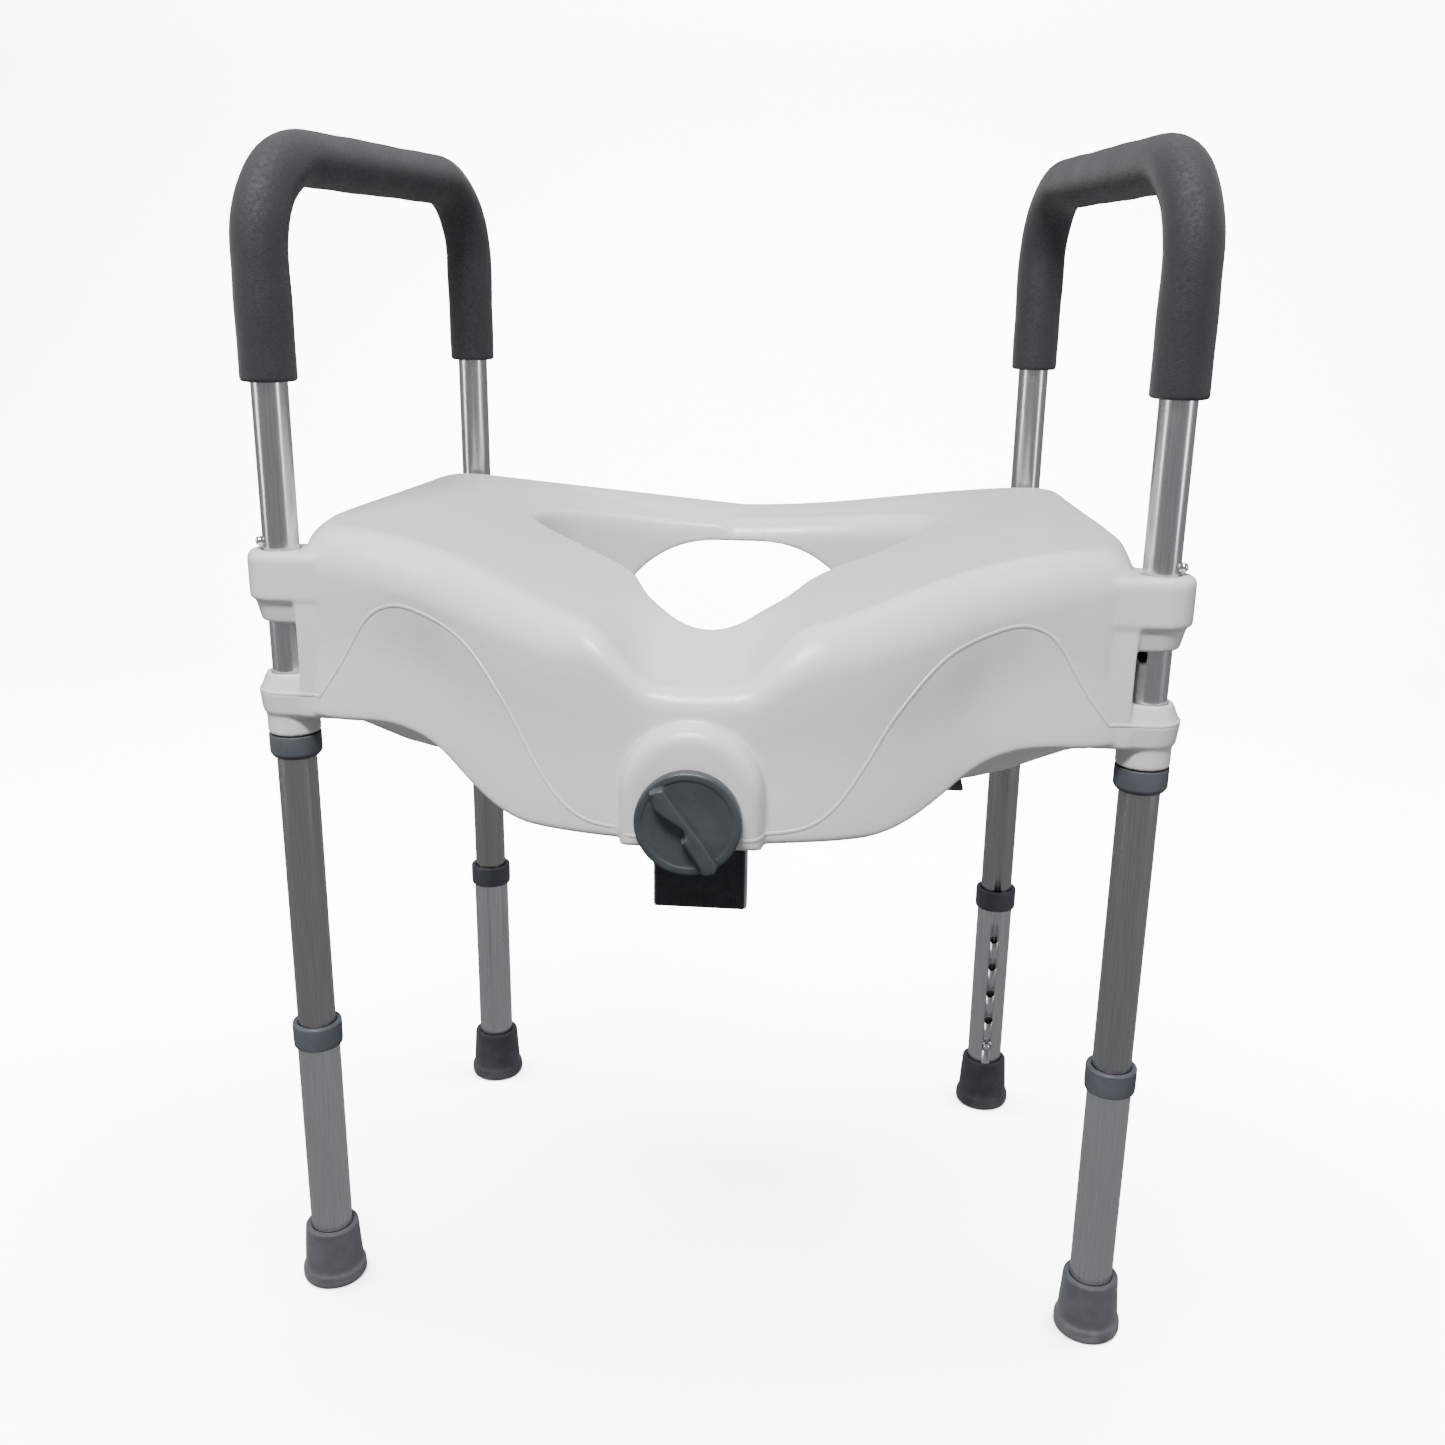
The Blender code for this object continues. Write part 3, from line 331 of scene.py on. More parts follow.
def through(points, per_span, closed=False):
    """Catmull-Rom curve through 2-D or 3-D points."""
    points = [Vector(p) for p in points]
    count = len(points)
    spans = count if closed else count - 1
    curve = []
    for i in range(spans):
        if closed:
            p0, p1, p2, p3 = [points[(i + k) % count] for k in (-1, 0, 1, 2)]
        else:
            p0, p1, p2, p3 = [points[min(max(i + k, 0), count - 1)] for k in (-1, 0, 1, 2)]
        for step in range(per_span):
            t = step / per_span
            curve.append(0.5 * (2 * p1 + (p2 - p0) * t + (2 * p0 - 5 * p1 + 4 * p2 - p3) * t * t
                                + (3 * p1 - p0 - 3 * p2 + p3) * t ** 3))
    if not closed:
        curve.append(points[-1])
    return curve


def placed(x, y, heading=0.0):
    return Matrix.Translation((x, y, 0)) @ Matrix.Rotation(math.radians(heading), 4, 'Z')


# ---- materials
class Surface:
    """A Principled material whose colour, roughness and relief come from noise patterns."""

    def __init__(self, name, metallic=0.0, **sockets):
        self.material = bpy.data.materials.new(name)
        self.material.use_nodes = True
        self.tree = self.material.node_tree
        self.shader = self.tree.nodes["Principled BSDF"]
        self.shader.inputs["Metallic"].default_value = metallic
        for socket, value in sockets.items():
            self.shader.inputs[socket.replace("_", " ")].default_value = value
        self.place = self.tree.nodes.new("ShaderNodeTexCoord").outputs["Object"]

    def stretched(self, stretch):
        mapping = self.tree.nodes.new("ShaderNodeMapping")
        mapping.inputs["Scale"].default_value = stretch
        self.tree.links.new(self.place, mapping.inputs["Vector"])
        return mapping.outputs["Vector"]

    def noise(self, scale, detail=3.0, stretch=(1, 1, 1)):
        pattern = self.tree.nodes.new("ShaderNodeTexNoise")
        pattern.inputs["Scale"].default_value = scale
        pattern.inputs["Detail"].default_value = detail
        self.tree.links.new(self.stretched(stretch), pattern.inputs["Vector"])
        return pattern.outputs["Fac"]

    def cells(self, scale):
        pattern = self.tree.nodes.new("ShaderNodeTexVoronoi")
        pattern.inputs["Scale"].default_value = scale
        self.tree.links.new(self.place, pattern.inputs["Vector"])
        return pattern.outputs["Distance"]

    def height(self, low, high):
        """0 below one height and 1 above the other."""
        split = self.tree.nodes.new("ShaderNodeSeparateXYZ")
        self.tree.links.new(self.place, split.inputs["Vector"])
        return self.ranged(split.outputs["Z"], low, high, 0.0, 1.0)

    def ranged(self, value, from_low, from_high, to_low, to_high):
        node = self.tree.nodes.new("ShaderNodeMapRange")
        limits = {"From Min": from_low, "From Max": from_high, "To Min": to_low, "To Max": to_high}
        for socket, limit in limits.items():
            node.inputs[socket].default_value = limit
        self.tree.links.new(value, node.inputs["Value"])
        return node.outputs["Result"]

    def blend(self, factor, first, second):
        """Mix of two colours; each is an RGB triple or a socket."""
        node = self.tree.nodes.new("ShaderNodeMix")
        node.data_type = 'RGBA'
        self.tree.links.new(factor, node.inputs[0])
        for socket, colour in ((node.inputs[6], first), (node.inputs[7], second)):
            if isinstance(colour, tuple):
                socket.default_value = (*colour, 1.0)
            else:
                self.tree.links.new(colour, socket)
        return node.outputs[2]

    def mottled(self, pattern, limits, base, dark, light):
        """A base colour that wanders between two of its shades with a pattern."""
        share = self.ranged(pattern, *limits, 0.0, 1.0)
        return self.blend(share, shade(base, dark), shade(base, light))

    def speckled(self, pattern, limits, tinted, speck):
        """A colour with some of another where the pattern says."""
        return self.blend(self.ranged(pattern, *limits), tinted, speck)

    def colour(self, socket):
        self.tree.links.new(socket, self.shader.inputs["Base Color"])

    def roughness(self, pattern, low, high):
        spread = self.ranged(pattern, *GRAINY, low, high)
        self.tree.links.new(spread, self.shader.inputs["Roughness"])

    def relief(self, *layers):
        """Bump layers of (pattern, height in metres, strength)."""
        normal = None
        for pattern, height, strength in layers:
            bump = self.tree.nodes.new("ShaderNodeBump")
            bump.inputs["Distance"].default_value = height
            bump.inputs["Strength"].default_value = strength
            self.tree.links.new(pattern, bump.inputs["Height"])
            if normal:
                self.tree.links.new(normal, bump.inputs["Normal"])
            normal = bump.outputs["Normal"]
        self.tree.links.new(normal, self.shader.inputs["Normal"])


def shade(colour, factor):
    return tuple(channel * factor for channel in colour)


def shell_plastic():
    """Moulded polyethylene: satin grain and faint flow clouds."""
    surface = Surface("moulded_polyethylene")
    base = (0.62, 0.606, 0.608)
    clouds = surface.noise(7.0, 4.0)
    grain = surface.noise(900.0, 4.0)
    tinted = surface.mottled(clouds, CLOUDY, base, 0.965, 1.02)
    surface.colour(surface.speckled(grain, (*GRAINY, 0.0, 0.16), tinted, shade(base, 0.88)))
    surface.roughness(surface.noise(240.0, 3.0), 0.28, 0.40)
    surface.relief((grain, 0.00018, 0.45), (surface.noise(42.0, 3.0), 0.0012, 0.10))
    return surface.material


def brushed_metal(name, base, low, high):
    """Anodised tube with fine lines along it and a few rubbed patches."""
    surface = Surface(name, 1.0)
    lines = surface.noise(2600.0, 3.0, (1, 1, 0.012))
    patches = surface.noise(38.0, 4.0, (1, 1, 0.35))
    tinted = surface.mottled(lines, GRAINY, base, 0.86, 1.08)
    surface.colour(surface.speckled(patches, (0.45, 0.8, 0.0, 0.5), tinted, shade(base, 0.8)))
    surface.roughness(patches, low, high)
    surface.relief((lines, 0.00005, 0.35))
    return surface.material


def satin_plastic(name, base, low, high):
    surface = Surface(name)
    clouds = surface.noise(60.0, 4.0)
    grain = surface.noise(1500.0, 3.0)
    surface.colour(surface.mottled(clouds, CLOUDY, base, 0.86, 1.14))
    surface.roughness(surface.noise(300.0, 3.0), low, high)
    surface.relief((grain, 0.00014, 0.4))
    return surface.material


def dusty_rubber():
    """Slate rubber, paler and duller towards the floor where it picks up dust."""
    surface = Surface("slate_rubber", Sheen_Weight=0.15)
    base = (0.056, 0.061, 0.070)
    clouds = surface.noise(90.0, 5.0)
    tinted = surface.mottled(clouds, CLOUDY, base, 0.82, 1.12)
    dust = surface.tree.nodes.new("ShaderNodeMath")
    dust.operation = 'MULTIPLY'
    surface.tree.links.new(surface.height(0.014, 0.001), dust.inputs[0])
    surface.tree.links.new(surface.ranged(clouds, *GRAINY, 0.1, 0.6), dust.inputs[1])
    surface.colour(surface.blend(dust.outputs["Value"], tinted, (0.17, 0.17, 0.165)))
    surface.roughness(surface.noise(500.0, 3.0), 0.62, 0.82)
    surface.relief((surface.noise(1300.0, 4.0), 0.00022, 0.5))
    return surface.material


def foam():
    """Closed-cell foam: charcoal skin with fine pores and soft dents."""
    surface = Surface("charcoal_foam", Sheen_Weight=0.12, Sheen_Roughness=0.5)
    base = (0.0075, 0.0100, 0.0112)
    clouds = surface.noise(28.0, 5.0)
    pores = surface.cells(1150.0)
    tinted = surface.mottled(clouds, CLOUDY, base, 0.8, 1.25)
    surface.colour(surface.speckled(pores, (0.05, 0.35, 0.6, 0.0), tinted, shade(base, 0.45)))
    surface.roughness(surface.noise(400.0, 3.0), 0.66, 0.84)
    surface.relief((pores, 0.00030, 0.55), (surface.noise(55.0, 3.0), 0.0016, 0.16))
    return surface.material


def plated_steel():
    surface = Surface("plated_steel", 1.0)
    spangle = surface.noise(420.0, 4.0)
    base = (0.55, 0.55, 0.555)
    surface.colour(surface.mottled(spangle, GRAINY, base, 0.78, 1.1))
    surface.roughness(spangle, 0.26, 0.44)
    surface.relief((spangle, 0.00005, 0.4))
    return surface.material


def chrome():
    surface = Surface("button_chrome", 1.0)
    smears = surface.noise(260.0, 4.0)
    base = (0.76, 0.76, 0.77)
    surface.colour(surface.mottled(smears, CLOUDY, base, 0.93, 1.0))
    surface.roughness(smears, 0.07, 0.17)
    surface.relief((surface.noise(900.0, 2.0), 0.00002, 0.3))
    return surface.material


def black_rubber():
    surface = Surface("black_rubber")
    base = (0.0115, 0.0115, 0.0150)
    clouds = surface.noise(120.0, 4.0)
    surface.colour(surface.mottled(clouds, CLOUDY, base, 0.7, 1.5))
    surface.roughness(surface.noise(700.0, 3.0), 0.55, 0.75)
    surface.relief((surface.noise(2200.0, 3.0), 0.00012, 0.5))
    return surface.material


SURFACES = {
    "shell": shell_plastic(),
    "handle_tube": brushed_metal("anodised_handle_tube", (0.60, 0.60, 0.605), 0.20, 0.30),
    "upper_tube": brushed_metal("anodised_upper_tube", (0.44, 0.425, 0.43), 0.20, 0.30),
    "lower_tube": brushed_metal("anodised_lower_tube", (0.66, 0.66, 0.665), 0.20, 0.30),
    "grey_plastic": satin_plastic("slate_plastic", (0.058, 0.064, 0.076), 0.42, 0.56),
    "rubber": dusty_rubber(),
    "foam": foam(),
    "steel": plated_steel(),
    "chrome": chrome(),
    "knob": satin_plastic("knob_plastic", (0.036, 0.043, 0.048), 0.36, 0.50),
    "jaw": satin_plastic("jaw_plastic", (0.46, 0.46, 0.475), 0.40, 0.52),
    "pad": black_rubber()}


def finish_piece(piece, body, slot_name, *nodes):
    """Give a piece its material and its body, and hide the CAD nodes that it stands for."""
    evaluated(piece)
    piece.data.materials.clear()
    piece.data.materials.append(SURFACES[slot_name])
    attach(piece, body)
    if nodes:
        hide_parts(*nodes)
    return piece


# ---- seat shell
def mirrored_loop(half, per_span):
    return through(half + [(-x, y) for x, y in half[-2:0:-1]], per_span, closed=True)


def deck_height(x, y):
    dish = DISH_DEPTH - REAR_RISE * smoothstep(y / REAR_Y)
    across = min(abs(x) / DISH_HALF_WIDTH, 1.0)
    height = SEAT_TOP - dish * math.cos(math.pi / 2 * across) ** 2
    along = smoothstep((CORNER_Y + 0.037 - y) / 0.110)
    beside = smoothstep((NOTCH_HALF_WIDTH - abs(x)) / (NOTCH_HALF_WIDTH - NOTCH_FLAT))
    return height - NOTCH_DEPTH * along * beside


def shoulder_radius(x, y):
    """Radius of the roll from the deck into the skirt: broad at the front, tighter in the notch."""
    front = smoothstep((CORNER_Y + 0.067 - y) / 0.060)
    notch = smoothstep((0.090 - abs(x)) / 0.050)
    broad = CORNER_EDGE_R - SIDE_EDGE_R + (NOTCH_EDGE_R - CORNER_EDGE_R) * notch
    return SIDE_EDGE_R + front * broad


def opening_radius(y):
    """Radius of the roll into the opening: broad along the rear bridge."""
    return OPENING_EDGE_R + (OPENING_REAR_EDGE_R - OPENING_EDGE_R) * smoothstep((y + 0.010) / 0.050)


def skirt_low(x, y):
    """Height of the skirt's lower edge: lowest at the front middle, highest at the lugs."""
    if y < CORNER_Y:
        rise = smoothstep((abs(x) - FRONT_FLAT) / FRONT_RISE)
        return FRONT_LOW_Z + (CORNER_LOW_Z - FRONT_LOW_Z) * rise
    along = min(max((y - CORNER_Y) / (REAR_Y - CORNER_Y), 0.0), 1.0)
    return CORNER_LOW_Z - SIDE_SAG * math.sin(math.pi * along)


def skirt_offset(x, y, share):
    """How far the skirt stands out at a share of its height, counted down from the deck."""
    hollow = SKIRT_HOLLOW * math.sin(math.pi * share) ** 2
    valley = 0.0
    if y < CORNER_Y + 0.01:
        valley = VALLEY_DEPTH * math.exp(-((abs(x) - VALLEY_X) / VALLEY_WIDTH) ** 2)
    return SKIRT_DRAFT * share - hollow - valley * math.sin(math.pi / 2 * share)


def arc(centre_s, centre_z, radius, start, end, steps):
    turns = [math.radians(start + (end - start) * i / steps) for i in range(steps + 1)]
    return [(centre_s + radius * math.cos(t), centre_z + radius * math.sin(t)) for t in turns]


def shell_section(inner, outer):
    """Closed loop of points up the opening wall, over the deck, down the skirt and back below."""
    length = (outer - inner).length
    heading = (outer - inner) / length

    def spot(s):
        return inner + heading * s

    shoulder_r = shoulder_radius(*outer)
    shoulder_z = deck_height(*spot(length - shoulder_r))
    edge_r = opening_radius(inner.y)
    edge_z = deck_height(*spot(edge_r))
    low_outer = skirt_low(*outer)
    foot_s = length + skirt_offset(*outer, 1.0) - BOTTOM_EDGE_R

    loop = arc(BOTTOM_EDGE_R, CONTACT_Z + BOTTOM_EDGE_R, BOTTOM_EDGE_R, 270, 180, 4)
    loop += arc(edge_r, edge_z - edge_r, edge_r, 180, 90, 10)
    deck_from = edge_r
    deck_to = length - shoulder_r
    for i in range(1, 24):
        s = deck_from + (deck_to - deck_from) * i / 24
        loop.append((s, deck_height(*spot(s))))
    loop += arc(deck_to, shoulder_z - shoulder_r, shoulder_r, 90, 0, 10)
    top = shoulder_z - shoulder_r
    bottom = low_outer + BOTTOM_EDGE_R
    for i in range(1, 12):
        share = i / 12
        loop.append((length + skirt_offset(*outer, share), top + (bottom - top) * share))
    loop += arc(foot_s, bottom, BOTTOM_EDGE_R, 0, -90, 4)
    for i in range(1, 12):
        share = 1 - i / 12
        s = BOTTOM_EDGE_R + (foot_s - BOTTOM_EDGE_R) * share
        blend = smoothstep((share - 0.50) / 0.50)
        loop.append((s, CONTACT_Z + (low_outer - CONTACT_Z) * blend))
    return [(spot(s).x, spot(s).y + CENTRE_Y, z) for s, z in loop]


def skin_object():
    outer = mirrored_loop(DECK_OUTLINE, 10)
    inner = mirrored_loop(OPENING_OUTLINE, 10)
    rings = [shell_section(i, o) for i, o in zip(inner, outer)]
    return add("skin", to_mesh(loft(rings, closed_loop=True), "skin"))


def arch_object():
    """Cutter for the arch under the rear bridge, from the opening out through the rear skirt."""
    flank = ARCH_HALF_WIDTH + ARCH_FLARE
    half = [(flank, CONTACT_Z - 0.03)]
    centre_x = ARCH_HALF_WIDTH - ARCH_CORNER_R
    half += arc(centre_x, ARCH_Z - ARCH_CORNER_R, ARCH_CORNER_R, 0, 90, 18)
    outline = half + [(-x, z) for x, z in reversed(half)]
    rings = [[(x, CENTRE_Y + y, z) for x, z in outline] for y in (0.030, 0.16)]
    return add("arch", to_mesh(loft(rings), "arch"))


def boss_object():
    """Arched boss on the front of the skirt, with a broad round edge."""
    face_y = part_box("clamp_washer")[1].y + FIT
    arch_z = BOSS_TOP - BOSS_HALF_WIDTH
    steps = [(0.030, 0.0), (0.012, 0.0)]
    for t in QUARTER:
        steps.append((BOSS_EDGE_R * (1 - math.sin(t)), BOSS_EDGE_R * (1 - math.cos(t))))
    rings = []
    for depth, shrink in steps:
        radius = BOSS_HALF_WIDTH - shrink
        ring = [(radius * math.cos(math.pi * i / 32), face_y + depth,
                 arch_z + radius * math.sin(math.pi * i / 32)) for i in range(33)]
        low = FRONT_LOW_Z - 0.001 + 0.4 * shrink
        ring += [(-radius, face_y + depth, low), (radius, face_y + depth, low)]
        rings.append(ring)
    return add("boss", to_mesh(loft(rings), "boss"))


def lug_ring(radius, flat, z):
    """Section of a lug: half round about the tube axis, then a step and flats to its root."""
    ring = [(radius * math.cos(math.radians(a)), radius * math.sin(math.radians(a)), z)
            for a in range(-90, 91, 6)]
    step = 0.0012 - WINDOW_WALL
    ring += [(step, radius, z), (-WINDOW_WALL, flat, z), (-LUG_INSET, flat, z)]
    return ring + [(-LUG_INSET, -flat, z), (-WINDOW_WALL, -flat, z), (step, -radius, z)]


def lug_object(name, place):
    """Corner lug about its tube axis, with its window and its stepped bore."""
    side = LUG_R - 0.001
    levels = [(LUG_R - 0.0045, side - 0.002, LUG_BOTTOM),
              (LUG_R - 0.0025, side - 0.0005, LUG_BOTTOM + 0.0018),
              (LUG_R - 0.001, side, LUG_SLOPE_Z - 0.001),
              (LUG_R - 0.0022, side, LUG_SLOPE_Z + 0.001),
              (LUG_NECK_R, side, WINDOW_BOTTOM),
              (LUG_NECK_R, side, WINDOW_TOP),
              (LUG_R - LUG_LEDGE, side, LUG_CREASE_Z - 0.0008),
              (LUG_R - 0.0006, LUG_R - 0.0006, LUG_CREASE_Z),
              (LUG_R, LUG_R, LUG_CREASE_Z + 0.0012)]
    rings = [lug_ring(*level) for level in levels]
    for t in QUARTER:
        shrink = LUG_TOP_EDGE * (1 - math.cos(t))
        z = LUG_TOP - LUG_TOP_EDGE * (1 - math.sin(t))
        rings.append(lug_ring(LUG_R - shrink, LUG_R - shrink, z))
    lug = add(name, to_mesh(loft(rings), name), place)
    half = LUG_R + 2 * FIT
    window = block("window", (-WINDOW_WALL, -half, WINDOW_BOTTOM),
                   (2 * LUG_R, half, WINDOW_TOP))
    window.matrix_world = place
    sleeve = lathe([(0, SLEEVE_BOTTOM), (SLEEVE_R - 0.0008, SLEEVE_BOTTOM),
                    (SLEEVE_R, SLEEVE_BOTTOM + 0.001), (SLEEVE_R, LUG_BOTTOM + 0.004),
                    (0, LUG_BOTTOM + 0.004)], 48)
    combine(lug, [add("sleeve", to_mesh(sleeve, "sleeve"), place)], 'UNION')
    wide = LEG_UPPER_R + FIT
    narrow = HANDLE_TUBE_R + 0.0006
    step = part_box("leg_upper_tube_front_left")[1].z + FIT
    profile = [(0, SLEEVE_BOTTOM - 0.02), (wide, SLEEVE_BOTTOM - 0.02), (wide, step),
               (narrow, step), (narrow, LUG_TOP + 0.02), (0, LUG_TOP + 0.02)]
    bore = add("bore", to_mesh(lathe(profile, 48), "bore"), place)
    return combine(lug, [window, bore], 'DIFFERENCE')


def parting_height(x):
    """Height of the parting line on the front skirt at a distance from the middle."""
    for (x0, z0), (x1, z1) in zip(PARTING_CURVE, PARTING_CURVE[1:]):
        if x0 <= x <= x1:
            return z0 + (z1 - z0) * (x - x0) / (x1 - x0)
    return PARTING_CURVE[-1][1] if x > PARTING_CURVE[-1][0] else PARTING_CURVE[0][1]


PARTING_CURVE = [tuple(p) for p in through(PARTING_LINE, 8)]


def parting_runs(shell):
    """Points and normals on the shell along its parting line, split where the surface jumps."""
    tree = BVHTree.FromObject(shell, bpy.context.evaluated_depsgraph_get())
    outer = mirrored_loop(DECK_OUTLINE, 24)
    inner = mirrored_loop(OPENING_OUTLINE, 24)
    runs = [[]]
    for i, o in zip(inner, outer):
        heading = (o - i).normalized()
        z = parting_height(abs(o.x)) if o.y < CORNER_Y + 0.004 else LUG_SLOPE_Z
        start = Vector((o.x + heading.x * 0.1, o.y + heading.y * 0.1 + CENTRE_Y, z))
        spot, normal = tree.ray_cast(start, Vector((-heading.x, -heading.y, 0)))[:2]
        over_arch = abs(o.x) < ARCH_HALF_WIDTH + 0.012 and o.y > 0
        blocked = spot is None or abs(normal.z) > 0.75 or over_arch
        if blocked or (runs[-1] and (spot - runs[-1][-1][0]).length > 0.0045):
            runs.append([])
        if not blocked:
            runs[-1].append((spot, normal))
    return [run for run in runs if len(run) > 8]


def bead_object(runs, half_width, rise):
    """Low rounded bead that follows the runs and sinks into the surface at both ends."""
    parts = []
    for run in runs:
        rings = []
        for k, (spot, normal) in enumerate(run):
            ahead = run[min(k + 1, len(run) - 1)][0] - run[max(k - 1, 0)][0]
            across = ahead.cross(normal).normalized()
            fade = smoothstep(min(k, len(run) - 1 - k) / 5)
            ring = []
            for t in full_turn(10):
                out = rise * fade * math.sin(t) if math.sin(t) > 0 else 0.0006 * math.sin(t)
                ring.append(spot + across * half_width * math.cos(t) + normal * out)
            rings.append(ring)
        parts.append(add("bead", to_mesh(loft(rings), "bead")))
    return join("parting_line", parts)


def build_shell():
    shell = skin_object()
    combine(shell, [boss_object()], 'UNION')
    jaw_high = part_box("clamp_jaw")[1]
    channel_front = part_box("clamp_retainer")[0].y - FIT
    half = jaw_high.x + 0.001
    channel = block("channel", (-half, channel_front, FRONT_LOW_Z - 0.05),
                    (half, CENTRE_Y - 0.1665, jaw_high.z + 0.003))
    axis_z = middle("clamp_screw").z
    hole = rod("screw_hole", SCREW_R + 2 * FIT, (0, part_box("clamp_knob")[0].y, axis_z),
               (0, channel_front + 0.01, axis_z))
    cutters = [arch_object(), channel, hole]
    for side in (-1, 1):
        for y in VENT_YS:
            spot = Vector((side * VENT_X, CENTRE_Y + y, CONTACT_Z))
            reach = Vector((0, 0, 0.02))
            cutters.append(rod("vent", VENT_R, spot - reach, spot + reach))
    combine(shell, cutters, 'DIFFERENCE')
    parts = [shell]
    for corner in CORNERS:
        parts.append(lug_object("lug_" + corner, placed(*LEG_AXIS[corner], LUG_HEADINGS[corner])))
    whole = join("seat_moulding", parts)
    remesh = whole.modifiers.new("fuse", 'REMESH')
    remesh.mode = 'VOXEL'
    remesh.voxel_size = VOXEL
    soften = whole.modifiers.new("soften", 'SMOOTH')
    soften.factor = 0.5
    soften.iterations = 5
    evaluated(whole)
    whole.data.shade_smooth()
    runs = parting_runs(whole)
    finish_piece(whole, "seat", "shell", "seat_shell")
    bead = bead_object(runs, BEAD_HALF_WIDTH, BEAD_RISE)
    bead.data.shade_smooth()
    finish_piece(bead, "seat", "shell")


def build_bowl_pads():
    for corner in CORNERS:
        node = "bowl_pad_" + corner
        low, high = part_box(node)
        pad = soft_block("cushion_" + node, low, high, 0.0012)
        finish_piece(pad, "seat", "rubber", node)


# ---- legs
def tube_profile(radius, bottom, top):
    inner = radius - TUBE_WALL
    edge = 0.0004
    return rounded([(inner, bottom, edge), (radius, bottom, edge), (radius, top, edge),
                    (inner, top, edge)], 3)


def tube_object(node, radius, place):
    """Straight tube as high as its node."""
    low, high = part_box(node)
    return add("tube_" + node, to_mesh(lathe(tube_profile(radius, low.z, high.z)), node), place)


def ring_object(node, corners, place):
    return add("ring_" + node, to_mesh(lathe(rounded(corners, 5), 72), node, 50), place)


def drilled(tube, axis, heading, radius, heights):
    """Drill round holes through one wall of a tube."""
    place = placed(*axis, heading)
    holes = []
    for z, hole_r in heights:
        start = place @ Vector((0.002, 0, z))
        end = place @ Vector((radius + 0.01, 0, z))
        holes.append(rod("hole", hole_r, start, end, 24))
    return combine(tube, holes, 'DIFFERENCE')


def clip_object(name, tube_r, button_z, place):
    """Bent spring strip with a domed button, about the tube axis."""
    face = math.sqrt((tube_r - TUBE_WALL - FIT) ** 2 - BUTTON_R ** 2)
    strip = 0.0008
    top = button_z + 0.010
    bend = button_z - 0.026
    spine = [(face - strip / 2, top), (face - strip / 2, bend + 0.004), (face - 0.0035, bend),
             (face - 0.0065, bend + 0.003), (-0.0016, button_z)]
    curve = through(spine, 6)
    rings = []
    for k, p in enumerate(curve):
        ahead = (curve[min(k + 1, len(curve) - 1)] - curve[max(k - 1, 0)]).normalized()
        out = Vector((ahead.y, -ahead.x)) * strip / 2
        rings.append([(p.x + out.x, -BUTTON_R, p.y + out.y), (p.x + out.x, BUTTON_R, p.y + out.y),
                      (p.x - out.x, BUTTON_R, p.y - out.y), (p.x - out.x, -BUTTON_R, p.y - out.y)])
    clip = add(name, to_mesh(loft(rings), name), place)
    reach = tube_r - face + BUTTON_REACH
    dome = [(0, 0), (BUTTON_R, 0), (BUTTON_R, reach - 0.0024)]
    dome += [(BUTTON_R * math.cos(t), reach - 0.0024 + 0.0024 * math.sin(t))
             for t in QUARTER[1:]]
    seat = Matrix.Translation((face - strip / 2, 0, button_z))
    turn = seat @ Matrix.Rotation(math.pi / 2, 4, 'Y')
    button = add("button", to_mesh(lathe(dome, 32), "button"), place @ turn)
    return combine(clip, [button], 'UNION')


def foot_object(name, place):
    low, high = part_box(name)
    sole = (high.x - low.x) / 2
    height = high.z
    bore = LEG_LOWER_R + FIT
    top_r = 0.0185
    corners = [
        (bore, height, 0.0006), (bore, 0.006, 0.0004), (0.0, 0.006, 0), (0.0, 0.0012, 0),
        (0.006, 0.0012, 0.0005), (0.0075, 0.0, 0.0005), (0.0105, 0.0, 0.0005),
        (0.0120, 0.0012, 0.0005), (0.0140, 0.0012, 0.0005), (0.0155, 0.0, 0.0005),
        (sole - 0.0012, 0.0, 0.0012), (sole, 0.0022, 0.0012), (sole - 0.0002, 0.0085, 0.0015),
        (sole - 0.0019, 0.0105, 0.0015), (top_r, height, 0.0018)]
    return add("rubber_" + name, to_mesh(lathe(rounded(corners, 4), 72), name, 50), place)


